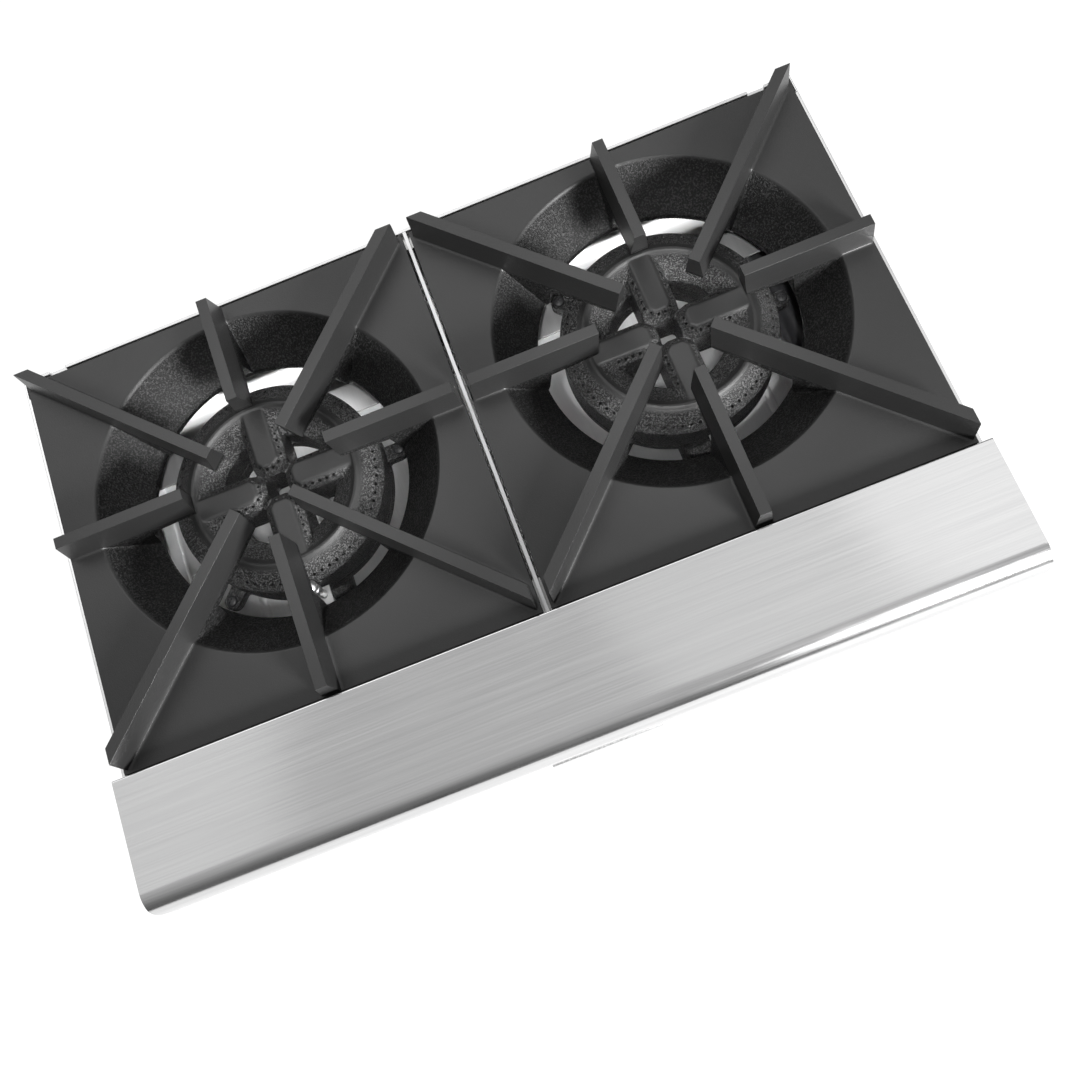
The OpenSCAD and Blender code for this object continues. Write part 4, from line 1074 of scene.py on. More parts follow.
@dataclass
class Grates(Assembly):
    """The two cast grates: a plate with a sloped bowl and eight ribs each."""

    width: float = 0.299
    depth: float = 0.302
    bowl_back: float = 0.0134
    rim_t: float = 0.008
    field_t: float = 0.005
    rim_w: float = 0.006
    bowl_r: float = 0.1255
    opening_r: float = 0.096
    bowl_drop: float = 0.032
    bowl_wall: float = 0.005
    bowl_lap: float = 0.003
    rib_h: float = 0.022
    rib_top: float = 0.008
    rib_base: float = 0.013
    rib_inset: float = 0.003
    mid_tip: float = 0.0525
    corner_tip: float = 0.033
    corner_lead: float = 0.006
    voxel: float = 0.0009
    slim: float = 0.0003

    def build(self) -> None:
        """Casts one grate and sets it on both sides."""
        casting = self._casting()
        self.fit_both(casting, "grate_casting", "grate", "grate", self.layout.plate_z, Finish.GRATE_IRON)

    def _casting(self) -> Object:
        """Joins plate, bowl and ribs about the bowl's axis and melts them into one casting."""
        front = -self.depth / 2 - self.bowl_back
        rear = self.depth / 2 - self.bowl_back
        parts = [self._plate(front, rear), self._bowl(), self._ribs(front, rear, self.slim)]
        casting = Bench.cast(Bench.join("grate_casting", parts), self.voxel, passes=2, keep=0.2)
        Bench.cut(casting, Bench.edges(self._ribs(front, rear, 0.0), 0.0006, segments=3), "UNION")
        return Bench.smooth(casting, 32.0)

    def _ribs(self, front: float, rear: float, slim: float) -> Object:
        """Makes the eight ribs about the bowl's axis.

        Args:
            front: The plate's front edge.
            rear: The plate's rear edge.
            slim: How much every face is set back, for the core that the fillets form round.

        Returns:
            The ribs, as one piece.
        """
        reach, inset = self.width / 2 - self.rib_inset - slim, self.rib_inset + slim
        ends = ((0, reach), (90, rear - inset), (180, reach), (270, -front - inset))
        ribs = [Bench.turn(self._rib(self.mid_tip, end, slim), radians(turn)) for turn, end in ends]
        for turn in (45, 135, 225, 315):
            lead = self.corner_lead / sqrt(2) * (1 if turn < 180 else -1)
            rib = Bench.turn(self._rib(self.corner_tip + lead, sqrt(2) * self.depth, slim), radians(turn))
            Bench.shift(rib, (0.0, -self.corner_lead, 0.0))
            clip = Bench.block("rib_clip", (-reach, front + inset, -self.bowl_drop),
                               (reach, rear - inset, self.rib_h + PAST))
            ribs.append(Bench.cut(rib, clip, "INTERSECT"))
        return Bench.join("grate_ribs", ribs)

    def _plate(self, front: float, rear: float) -> Object:
        """Makes the flat plate, thinner inside its rim, with the bowl's hole."""
        half = self.width / 2
        plate = Bench.block("grate_plate", (-half, front, -self.rim_t), (half, rear, 0.0))
        pocket = Bench.block("grate_pocket", (-half + self.rim_w, front + self.rim_w, -self.rim_t - PAST),
                             (half - self.rim_w, rear - self.rim_w, -self.field_t))
        Bench.cut(plate, pocket)
        return Bench.cut(plate, Bench.rod("grate_hole", (0, 0, -0.02), (0, 0, 0.01), self.bowl_r, 128))

    def _bowl(self) -> Object:
        """Turns the sloped bowl."""
        out, mouth, lap = self.bowl_r, self.opening_r, self.bowl_lap
        drop, wall = self.bowl_drop, self.bowl_wall
        profile = [(mouth, -drop), (out, 0.0), (out + lap, 0.0), (out + lap, -self.field_t),
                   (out + 0.001, -self.rim_t), (mouth + wall, -drop - wall), (mouth, -drop - wall),
                   (mouth, -drop)]
        return Bench.turned("grate_bowl", profile, steps=128)

    def _rib(self, tip: float, end: float, slim: float) -> Object:
        """Makes one drafted rib along X, from its tip over the burner to its end on the plate.

        Args:
            tip: The tip's distance from the bowl's axis.
            end: The outer end's distance.
            slim: How much its faces are set back.

        Returns:
            The rib.
        """
        top, base = self.rib_top / 2 - slim, self.rib_base / 2 - slim
        high, low = self.rib_h - slim, self.bowl_drop
        tip += slim
        section = [(-base, -low), (base, -low), (base, 0.0), (top, high), (-top, high), (-base, 0.0)]
        bar = Bench.slab("rib_bar", section, Way.ACROSS, 0.0, end + 0.01)
        mouth, skirt, root = self.opening_r, self.bowl_r + self.bowl_lap, -0.003
        profile = [(tip, high), (end, high), (end + 0.002, 0.0), (end + 0.002, root), (skirt, root),
                   (mouth + self.bowl_wall, -low), (mouth, -low), (mouth - 0.002, 0.006 - low),
                   (mouth - 0.005, -0.008), (tip + 0.003, -0.004)]
        shape = Bench.slab("rib_shape", profile, Way.DEEP, -self.rib_base, 2 * self.rib_base)
        return Bench.cut(bar, shape, "INTERSECT")


@dataclass
class Burners(Assembly):
    """The two cast burners, each a drilled head on a hollow base, with three screws."""

    ring_r: float = 0.079
    ridge_r: float = 0.061
    ring_in_r: float = 0.042
    bevel_drop: float = 0.010
    head_h: float = 0.034
    base_h: float = 0.012
    wall: float = 0.005
    arm_top_w: float = 0.015
    arm_bevel: float = 0.006
    arm_low: float = 0.001
    gap_w: float = 0.016
    tip_bevel: float = 0.007
    tip_corner: float = 0.003
    port_count: int = 74
    port_r: float = 0.0012
    arm_ports: int = 5
    arm_pitch: float = 0.0055
    drill_in: float = 0.006
    drill_out: float = 0.003
    ear_r: float = 0.0895
    ear_t: float = 0.005
    ear_w: float = 0.012
    ear_hole_r: float = 0.0022
    boss_r: float = 0.020
    mixer_r: float = 0.017
    boss_front: float = -0.094
    boss_z: float = -0.062
    head_voxel: float = 0.0008
    base_voxel: float = 0.0012

    @property
    def ear_turns(self) -> tuple[int, int, int]:
        """Where the screwed ears stand round the ring, in degrees."""
        return (0, 135, 225)

    def build(self) -> None:
        """Casts one head and one base, and sets them with their screws on both sides."""
        head, base, screws = self._head(), self._base(), self._screws()
        for piece, node, finish in ((head, "burner_head", Finish.BURNER_IRON),
                                    (base, "burner_base", Finish.BURNER_IRON),
                                    (screws, "burner_screws", Finish.DARK_STEEL)):
            self.fit_both(piece, f"{node}_casting", "burner", node, self.layout.ridge_z, finish)

    def _head(self) -> Object:
        """Casts the ring, its four arms and its ears, and drills the flame ports."""
        low, drop, out, inner = -self.head_h, -self.bevel_drop, self.ring_r, self.ring_in_r
        profile = [(out, low), (out, drop - 0.001), (out - 0.001, drop), (self.ridge_r + 0.001, 0.0),
                   (self.ridge_r - 0.001, 0.0), (inner + 0.002, drop - 0.002), (inner, drop - 0.004),
                   (inner, low), (out, low)]
        parts = [Bench.turned("head_ring", profile, steps=128)]
        arm = self._arm()
        parts += [Bench.turn(Bench.copy(arm, "head_arm"), radians(turn)) for turn in (90, 180, 270)] + [arm]
        parts += [Bench.turn(self._ear(low), radians(turn)) for turn in self.ear_turns]
        head = Bench.cast(Bench.join("burner_head_casting", parts), self.head_voxel, passes=2, keep=0.6)
        return Bench.cut(head, self._drills())

    def _arm(self) -> Object:
        """Makes one arm along +X, chamfered along its top, sloped at its tip and cut at the tip's corners."""
        low, top_z = -self.head_h, -self.arm_low
        half_top, half = self.arm_top_w / 2, self.arm_top_w / 2 + self.arm_bevel
        end = self.ridge_r - 0.002
        section = [(-half, low), (half, low), (half, top_z - self.arm_bevel), (half_top, top_z),
                   (-half_top, top_z), (-half, top_z - self.arm_bevel)]
        bar = Bench.slab("arm_bar", section, Way.ACROSS, 0.0, end)
        tip, slope = self.gap_w / 2, self.tip_bevel
        profile = [(tip, low), (tip, top_z - slope), (tip + slope, top_z), (end, top_z), (end, low)]
        arm = Bench.cut(bar, Bench.slab("arm_shape", profile, Way.DEEP, -half, 2 * half), "INTERSECT")
        for turn in (-1, 1):
            Bench.slice(arm, (tip + slope + self.tip_corner, turn * half_top, top_z), (-1.0, turn, 1.0))
        return arm

    def _ear(self, low: float) -> Object:
        """Makes one screwed ear along +X, with its hole."""
        start = self.ring_r - self.wall / 2
        half = self.ear_w / 2
        outline = [(start, -half), *Bench.arc((self.ear_r, 0.0), half, -90.0, 90.0, 16), (start, half)]
        ear = Bench.slab("burner_ear", outline, Way.UP, low, self.ear_t)
        hole = Bench.rod("ear_hole", (self.ear_r, 0, low - PAST), (self.ear_r, 0, low + self.ear_t + PAST),
                         self.ear_hole_r, 24)
        return Bench.cut(ear, hole)

    def _drill(self, at: Vector, way: Vector) -> Object:
        """Makes one flame port's drill through a face at a point."""
        return Bench.rod("port_drill", at - way * self.drill_in, at + way * self.drill_out, self.port_r, 12)

    def _drills(self) -> Object:
        """Gathers the drills of all flame ports into one tool."""
        run, share = self.ring_r - self.ridge_r - 0.002, 0.75
        slope = atan2(self.bevel_drop, run)
        at = Vector((self.ridge_r + 0.001 + run * share, 0.0, -self.bevel_drop * share))
        first = Bench.turn(self._drill(at, Vector((sin(slope), 0.0, cos(slope)))), pi / self.port_count)
        drills = [Bench.ring_of(first, self.port_count, "ring_drills")]
        side, up = self.arm_top_w / 2 + self.arm_bevel / 2, -self.arm_low - self.arm_bevel / 2
        tip = self.gap_w / 2 + self.tip_bevel
        drop = self.tip_bevel * 0.38
        corner, tip_up = self.arm_top_w / 2 - 0.0003, -self.arm_low - drop
        rows = [tip + self.tip_corner + 0.0025 + step * self.arm_pitch for step in range(self.arm_ports)]
        spots = []
        for turn in (-1, 1):
            spots += [((x, turn * side, up), (0, turn, 1)) for x in rows]
            spots.append(((tip + 0.0002, turn * corner, tip_up), (-1, turn, 1)))
            spots.append(((tip - drop, turn * 0.0024, tip_up), (-1, 0, 1)))
        arm_drills = [self._drill(Vector(place), Vector(facing).normalized()) for place, facing in spots]
        drills.append(Bench.ring_of(Bench.join("arm_drills", arm_drills), 4, "arm_drills"))
        return Bench.join("port_drills", drills)

    def _base(self) -> Object:
        """Casts the base: channel floor, arms' floors, ears, and the boss for the mixer tube."""
        top, low = -self.head_h, -self.head_h - self.base_h
        out, inner = self.ring_r, self.ring_in_r
        profile = [(inner, top), (inner, low), (out - 0.003, low), (out, low + 0.003), (out, top),
                   (inner, top)]
        parts = [Bench.turned("base_ring", profile, steps=128)]
        half = self.arm_top_w / 2 + self.arm_bevel
        floor = Bench.block("arm_floor", (self.gap_w / 2, -half, top - 0.004), (inner + 0.001, half, top))
        parts.append(Bench.ring_of(floor, 4, "arm_floors"))
        parts += [Bench.turn(self._ear(top - self.ear_t), radians(turn)) for turn in self.ear_turns]
        front, rear, z = self.boss_front, -inner - 0.002, self.boss_z
        parts.append(Bench.rod("mixer_boss", (0, front, z), (0, rear, z), self.boss_r, 64))
        neck = self.boss_r - 0.003
        parts.append(Bench.block("mixer_neck", (-neck, -out + 0.002, low - 0.016),
                                 (neck, rear - 0.001, low + 0.001)))
        base = Bench.cast(Bench.join("burner_base_casting", parts), self.base_voxel, passes=3, keep=0.7)
        bore = Bench.rod("mixer_bore", (0, front - PAST, z), (0, rear - 0.004, z), self.mixer_r - 0.0025, 64)
        return Bench.cut(base, bore)

    def _screws(self) -> Object:
        """Makes the three cross-recessed screws of one burner."""
        screw = CrossScrew(head_r=0.0042, head_h=0.0026, shank_r=0.0019, shank=0.018).build("burner_screw")
        at = (self.ear_r, 0.0, -self.head_h + self.ear_t)
        screws = []
        for turn in self.ear_turns:
            twin = Bench.shift(Bench.copy(screw, "burner_screw"), at)
            screws.append(Bench.turn(twin, radians(turn)))
        bpy.data.objects.remove(screw)
        return Bench.join("burner_screws", screws)


@dataclass(frozen=True)
class CrossScrew:
    """A pan-head screw with a cross recess, its head standing on Z 0 and its shank below."""

    head_r: float
    head_h: float
    shank_r: float
    shank: float

    def build(self, name: str) -> Object:
        """Turns the head and shank and cuts the recess.

        Args:
            name: The screw's name.

        Returns:
            The screw.
        """
        turns = [radians(15.0 * i) for i in range(6)]
        dome = [(self.head_r * cos(t), self.head_h * (0.35 + 0.65 * sin(t))) for t in turns]
        profile = [(0.0, self.head_h), *reversed(dome), (self.head_r, 0.0), (self.shank_r, 0.0),
                   (self.shank_r, -self.shank), (0.0, -self.shank)]
        screw = Bench.turned(name, profile, steps=28)
        reach, half, deep = self.head_r * 0.55, self.head_r * 0.1, self.head_h * 0.45
        for x, y in ((reach, half), (half, reach)):
            slot = Bench.block("recess", (-x, -y, self.head_h - deep), (x, y, self.head_h + PAST))
            Bench.cut(screw, slot)
        return Bench.smooth(screw, 35.0)


@dataclass
class Ledge(Assembly):
    """The front ledge: one folded sheet with a rounded nose, closed by two end caps."""

    width: float = 0.614
    top_z: float = 0.317
    low_z: float = 0.287
    nose_r: float = 0.018
    corner_r: float = 0.005
    lip: float = 0.015
    rear_drop: float = 0.021
    cap_t: float = 0.0015

    def build(self) -> None:
        """Folds the sheet, closes its ends and rounds its front corners."""
        cap_x = self.width / 2 - self.cap_t
        skin = self._skin(cap_x)
        for side in Side:
            Bench.cut(skin, self._cap(side, cap_x), "UNION")
        Bench.cut(skin, self._plan(), "INTERSECT")
        skin.name = "front_ledge_sheet"
        Bench.edges(skin, 0.0005, angle=35.0)
        self.fit(Bench.smooth(skin, 30.0), "body", ["front_ledge"], Finish.LEDGE_SHEET)

    def _outline(self) -> list[Pair]:
        """Lists the fold's outside in Y and Z, from its rear edge over the nose to its lip."""
        front, rear = self.layout.front_y, self.layout.ledge_rear_y
        bend = 0.0013
        points = [(rear, self.top_z - self.rear_drop)]
        points += Bench.arc((rear - bend, self.top_z - bend), bend, 0.0, 90.0, 4)
        points += Bench.arc((front + self.nose_r, self.top_z - self.nose_r), self.nose_r, 90.0, 180.0, 20)
        points += Bench.arc((front + bend, self.low_z + bend), bend, 180.0, 270.0, 4)
        return points + [(front + self.lip, self.low_z)]

    def _skin(self, cap_x: float) -> Object:
        """Extrudes the fold between the caps and gives the sheet its thickness."""
        skin = Bench.thread("ledge_skin", [(-cap_x, y, z) for y, z in self._outline()])
        bpy.ops.mesh.extrude_region_move(TRANSFORM_OT_translate={"value": (2 * cap_x, 0.0, 0.0)})
        Bench.seal()
        middle = skin.data.polygons[len(skin.data.polygons) // 2]
        within = Vector((middle.center.x, -0.17, 0.29))
        outwards = middle.normal.dot(middle.center - within) > 0
        return Bench.modify(skin, "SOLIDIFY", thickness=self.layout.sheet, offset=-1.0 if outwards else 1.0)

    def _cap(self, side: Side, cap_x: float) -> Object:
        """Makes one end cap."""
        outline = [*self._outline(), (self.layout.ledge_rear_y, self.low_z)]
        start = cap_x - 0.0004
        thick = self.width / 2 - start
        return Bench.slab("ledge_cap", outline, Way.ACROSS, side.value * start, side.value * thick)

    def _plan(self) -> Object:
        """Makes the block that the ledge fits into, with rounded front corners."""
        half, rear, r = self.width / 2, self.layout.ledge_rear_y, self.corner_r
        mid, y = half - r, self.layout.front_y + r
        outline = [(half, rear), *reversed(Bench.arc((mid, y), r, -90.0, 0.0, 8)),
                   *reversed(Bench.arc((-mid, y), r, -180.0, -90.0, 8)), (-half, rear)]
        height = self.top_z - self.low_z + 2 * PAST
        return Bench.slab("ledge_plan", outline, Way.UP, self.low_z - PAST, height)


@dataclass
class Controls(Assembly):
    """The two knobs and their bezels."""

    knob_r: float = 0.027
    knob_l: float = 0.030
    gap: float = 0.0005
    bezel_t: float = 0.002
    skirt_l: float = 0.010
    grip_w: float = 0.013
    stem_r: float = 0.004

    def build(self) -> None:
        """Makes one knob and one bezel and copies them to both sides."""
        knob, bezel = self._knob(), self._bezel()
        bezels = []
        for side in Side:
            at = (side.value * self.layout.grate_x, 0.0, self.layout.mixer_z)
            one = Bench.shift(Bench.copy(knob, f"{side.word}_knob_grip"), at)
            self.fit(one, f"{side.word}_control", [f"{side.word}_knob"], Finish.KNOB_PLASTIC,
                     Finish.MARK_PAINT)
            bezels.append(Bench.shift(Bench.copy(bezel, "knob_bezel_ring"), at))
        for spare in (knob, bezel):
            bpy.data.objects.remove(spare)
        self.fit(Bench.join("knob_bezel_rings", bezels), "body", ["knob_bezels"], Finish.BRIGHT_METAL)

    def _knob(self) -> Object:
        """Turns the skirt about Y, adds the grip and its pointer line."""
        back = self.layout.panel_y - self.bezel_t - self.gap
        front, skirt, r = back - self.knob_l, back - self.skirt_l, self.knob_r
        profile = [(0.0, back), (r - 0.0005, back), (r, back - 0.0006), (r, back - 0.003),
                   (r - 0.0012, back - 0.0046), (r - 0.003, skirt + 0.0012), (r - 0.0042, skirt + 0.0003),
                   (r - 0.006, skirt), (r * 0.62 + 0.0015, skirt), (r * 0.62, skirt - 0.0015),
                   (r * 0.6, front + 0.0095), (r * 0.55, front + 0.0082), (r * 0.48, front + 0.008),
                   (0.0, front + 0.008)]
        knob = Bench.turned("knob_skirt", profile, Way.DEEP, steps=96)
        half, reach = self.grip_w / 2, r - 0.003
        outline = [(-half + 0.0012, reach), (-half, reach - 0.004), (-half, 0.004 - reach),
                   (0.0012 - half, -reach), (half - 0.0012, -reach), (half, 0.004 - reach),
                   (half, reach - 0.004), (half - 0.0012, reach)]
        bar = Bench.slab("knob_bar", outline, Way.DEEP, skirt + 0.001, front - skirt - 0.001)
        Bench.edit(bar)
        bpy.ops.mesh.select_all(action="DESELECT")
        Bench.done()
        for vertex in bar.data.vertices:
            vertex.select = vertex.co.y < front + 0.001
        Bench.pick(bar)
        bpy.ops.object.mode_set(mode="EDIT")
        bpy.ops.transform.resize(value=(0.72, 1.0, 0.94), center_override=(0.0, front, 0.0))
        Bench.done()
        Bench.edges(bar, 0.0012, segments=3, angle=25.0)
        Bench.cut(knob, bar, "UNION")
        wide = 0.0009
        line = Bench.block("knob_line", (-wide, front - 0.00005, reach - 0.011),
                           (wide, front + 0.0012, reach * 0.94 - 0.0016))
        Bench.edges(line, 0.0002)
        mark = Bench.block("knob_mark", (-wide, skirt - 0.00015, r * 0.62 + 0.004),
                           (wide, skirt + 0.001, r - 0.0062))
        knob.data.materials.append(self.finishes.table[Finish.KNOB_PLASTIC])
        for piece in (line, mark):
            piece.data.materials.append(self.finishes.table[Finish.MARK_PAINT])
        Bench.smooth(knob, 35.0)
        return Bench.join("knob", [knob, line, mark])

    def _bezel(self) -> Object:
        """Turns one bezel ring."""
        face, out, inner = self.layout.panel_y, self.knob_r + 0.003, self.stem_r + 0.005
        low = face - self.bezel_t
        profile = [(inner, face), (inner, low), (out - 0.0012, low), (out - 0.0004, low + 0.0004),
                   (out, low + 0.0012), (out, face), (inner, face)]
        return Bench.smooth(Bench.turned("knob_bezel", profile, Way.DEEP, steps=96), 35.0)


@dataclass
class Pilots(Assembly):
    """The standing pilots: a bent tube and a hooded tip beside each burner."""

    tube_r: float = 0.003
    tip_r: float = 0.0045
    place_x: float = 0.004
    place_y: float = -0.0428
    tip_z: float = 0.293
    low_z: float = 0.2625
    valve_x: float = 0.048
    start_y: float = -0.1365
    baffle_y: float = -0.0982
    bend: float = 0.011

    def build(self) -> None:
        """Bends a tube and turns a tip for each side."""
        tip = self._tip()
        for side in Side:
            x = side.value * self.layout.grate_x
            tube = Bench.tube(f"{side.word}_pilot_pipe", self._route(x), self.tube_r, self.bend)
            self.fit(tube, "body", [f"{side.word}_pilot_tube"], Finish.TUBE_METAL)
            hood = Bench.copy(tip, f"{side.word}_pilot_hood")
            Bench.shift(hood, (x + self.place_x, self.place_y, self.tip_z))
            self.fit(hood, "body", [f"{side.word}_pilot_tip"], Finish.PILOT_METAL)
        bpy.data.objects.remove(tip)

    def _route(self, x: float) -> list[Point]:
        """Lists the tube's corners, from its valve to its tip."""
        turn_y, valve_z, low = self.baffle_y - 0.012, self.layout.mixer_z, self.low_z
        start, middle, end = x + self.valve_x, x + self.valve_x / 2, x + self.place_x
        return [(start, self.start_y, valve_z), (start, turn_y - 0.014, valve_z), (middle, turn_y, low),
                (middle, self.baffle_y + 0.014, low), (end, self.place_y, low),
                (end, self.place_y, self.tip_z - self.tip_r - 0.004)]

    def _tip(self) -> Object:
        """Turns the hooded tip, its ball at the origin, with one flame slot cut through the ball."""
        ball = [(self.tip_r * cos(radians(t)), self.tip_r * sin(radians(t))) for t in range(75, -46, -15)]
        socket = self.tube_r + 0.001
        low = -self.tip_r - 0.008
        profile = [(0.0, self.tip_r), *ball, (socket * 0.8, -0.0042), (socket, -0.0052),
                   (socket, low + 0.0005), (socket - 0.0005, low), (self.tube_r, low),
                   (self.tube_r, low + 0.004), (0.0, low + 0.004)]
        tip = Bench.turned("pilot_tip", profile, steps=48)
        slot = Bench.block("pilot_slot", (-0.006, -0.0004, -0.0002), (0.006, 0.0004, 0.0016))
        return Bench.smooth(Bench.cut(tip, slot), 35.0)


@dataclass
class Tray(Assembly):
    """The drip tray: a pan with rounded corners and pressed beads, a front face and a rolled pull."""

    half_w: float = 0.3008
    front_y: float = -0.1682
    rear_y: float = 0.1696
    low_z: float = 0.1115
    rise: float = 0.028
    face_low: float = 0.1062
    face_high: float = 0.149
    pull_half: float = 0.048
    pull_out: float = 0.0415
    pull_z: float = 0.133
    pull_lip: float = 0.010
    bead_x: float = 0.2408
    bead_w: float = 0.008
    bead_h: float = 0.0018
    bead_end: float = 0.020
    corner_r: float = 0.004

    def build(self) -> None:
        """Presses the pan, its beads and its front, and joins them as one tray."""
        parts = [self._pan(), self._face(), self._pull()]
        parts += [self._bead(side.value * self.bead_x) for side in Side]
        tray = Bench.join("drip_tray_pan", parts)
        self.fit(Bench.smooth(tray, 35.0), "tray", ["drip_tray"], Finish.TRAY_SHEET)

    def _pan(self) -> Object:
        """Opens a block's top, rounds its corners and gives it the sheet's thickness."""
        pan = Bench.block("tray_pan", (-self.half_w, self.front_y, self.low_z),
                          (self.half_w, self.rear_y, self.low_z + self.rise))
        Bench.edit(pan)
        bpy.ops.mesh.select_all(action="DESELECT")
        Bench.done()
        for face in pan.data.polygons:
            face.select = face.normal.z > 0.5
        Bench.pick(pan)
        bpy.ops.object.mode_set(mode="EDIT")
        bpy.ops.mesh.select_mode(type="FACE")
        bpy.ops.mesh.delete(type="FACE")
        Bench.seal()
        Bench.modify(pan, "BEVEL", width=self.corner_r, segments=4, limit_method="ANGLE",
                     angle_limit=radians(40))
        return Bench.modify(pan, "SOLIDIFY", thickness=self.layout.sheet, offset=-1.0, use_even_offset=True)

    def _bead(self, x: float) -> Object:
        """Makes one long rounded bead on the floor."""
        half, sunk = self.bead_w / 2, 0.0002
        floor = self.low_z + self.layout.sheet - sunk
        front, rear = self.front_y + self.bead_end, self.rear_y - self.bead_end
        turns = [radians(t) for t in range(0, 181, 20)]
        arch = [(x + half * cos(t), floor + (self.bead_h + sunk) * sin(t)) for t in turns]
        bead = Bench.slab("tray_bead", arch, Way.DEEP, front, rear - front)
        return Bench.edges(bead, 0.0006, angle=50.0)

    def _face(self) -> Object:
        """Makes the front face, its edges turned soft."""
        face = Bench.block("tray_face", (-self.half_w, self.front_y - self.layout.sheet, self.face_low),
                           (self.half_w, self.front_y, self.face_high))
        return Bench.edges(face, 0.0004)

    def _pull(self) -> Object:
        """Folds the pull: a shelf that ends in a lip turned down and rolled back."""
        sheet = self.layout.sheet
        front, high = self.front_y - self.pull_out, self.pull_z + sheet
        bend = 0.003
        outer = [(self.front_y - sheet, high), *Bench.arc((front + bend, high - bend), bend, 90.0, 180.0, 6),
                 (front, high - self.pull_lip)]
        inner = [(front + sheet, high - self.pull_lip),
                 *Bench.arc((front + bend, high - bend), bend - sheet, 180.0, 90.0, 6),
                 (self.front_y - sheet, high - sheet)]
        pull = Bench.slab("tray_pull", outer + inner, Way.ACROSS, -self.pull_half, 2 * self.pull_half)
        return Bench.edges(pull, 0.0004, angle=50.0)


@dataclass
class Legs(Assembly):
    """The four legs and their screw-in feet, with the bolts that hold the legs."""

    x: float = 0.262
    front_y: float = -0.143
    rear_y: float = 0.1596
    leg_r: float = 0.019
    leg_low: float = 0.0265
    leg_top: float = 0.1032
    foot_r: float = 0.017
    stem_r: float = 0.008
    hex_r: float = 0.013
    foot_h: float = 0.026
    stem_top: float = 0.0745
    rail_z: float = 0.1062

    def build(self) -> None:
        """Turns one leg and one foot and copies them to the four corners."""
        leg, foot, bolt = self._leg(), self._foot(), self._bolt()
        bolts = []
        for side in Side:
            for end, y in (("front", self.front_y), ("rear", self.rear_y)):
                corner = f"{end}_{side.word}"
                at = (side.value * self.x, y, 0.0)
                one = Bench.shift(Bench.copy(leg, f"{corner}_leg_sleeve"), at)
                self.fit(one, "body", [f"{corner}_leg"], Finish.LEG_METAL)
                two = Bench.shift(Bench.copy(foot, f"{corner}_foot_pad"), at)
                self.fit(two, f"{corner}_foot", [f"{corner}_foot"], Finish.LEG_METAL)
                bolts.append(Bench.shift(Bench.copy(bolt, "leg_bolt"), at))
        for spare in (leg, foot, bolt):
            bpy.data.objects.remove(spare)
        self.fit(Bench.join("leg_bolt_heads", bolts), "body", ["leg_bolts"], Finish.BRIGHT_METAL)

    def _leg(self) -> Object:
        """Turns the tapered sleeve with a collar at its top and a bead above its foot."""
        low, top, r = self.leg_low, self.leg_top, self.leg_r
        taper, bore, bore_top = r - 0.003, self.stem_r + 0.0003, low + 0.048
        profile = [(bore, bore_top), (bore, low), (taper - 0.0012, low), (taper - 0.0003, low + 0.0004),
                   (taper, low + 0.0012), (taper + 0.0001, low + 0.0035), (taper - 0.0007, low + 0.0042),
                   (taper - 0.0007, low + 0.0052), (taper + 0.0002, low + 0.006), (r - 0.0006, top - 0.0075),
                   (r - 0.0011, top - 0.0068), (r - 0.0011, top - 0.0058), (r, top - 0.005),
                   (r, top - 0.0006), (r - 0.0006, top), (0.0, top), (0.0, bore_top), (bore, bore_top)]
        return Bench.smooth(Bench.turned("leg_sleeve", profile), 35.0)

    def _foot(self) -> Object:
        """Turns the pad and the threaded stem, and sets the hexagon between them."""
        r, high = self.foot_r, self.foot_h
        pad = [(0.0, 0.0), (r - 0.002, 0.0), (r - 0.0006, 0.0006), (r, 0.002), (r, 0.0055),
               (r - 0.0008, 0.0068), (r - 0.005, 0.010), (0.0, 0.010)]
        collar = [(0.0, high - 0.005), (r - 0.0036, high - 0.005), (r - 0.003, high - 0.0044),
                  (r - 0.003, high - 0.0006), (r - 0.0036, high)]
        pitch, crest, start = 0.0015, self.stem_r, high + 0.001
        thread = []
        for step in range(int((self.stem_top - start) / pitch)):
            z = start + step * pitch
            thread += [(crest - 0.0008, z), (crest - 0.0001, z + 0.0005), (crest - 0.0001, z + 0.0009)]
        collar += [*thread, (crest - 0.0015, self.stem_top), (0.0, self.stem_top)]
        parts = [Bench.turned("foot_pad", pad), Bench.turned("foot_stem", collar, steps=48)]
        nut = Bench.rod("foot_hexagon", (0, 0, 0.009), (0, 0, high - 0.004), self.hex_r, 6)
        parts.append(Bench.edges(nut, 0.0005, angle=20.0))
        return Bench.smooth(Bench.join("foot", parts), 32.0)

    def _bolt(self) -> Object:
        """Makes one hexagon bolt on a washer."""
        rail = self.rail_z
        shank = Bench.rod("leg_bolt", (0, 0, rail - 0.017), (0, 0, rail), 0.0039)
        washer = Bench.rod("bolt_washer", (0, 0, rail), (0, 0, rail + 0.0008), 0.0069)
        head = Bench.rod("bolt_head", (0, 0, rail + 0.0007), (0, 0, rail + 0.0032), 0.0066, 6)
        Bench.edges(head, 0.0004, angle=20.0)
        return Bench.smooth(Bench.join("leg_bolt", [shank, washer, head]), 32.0)


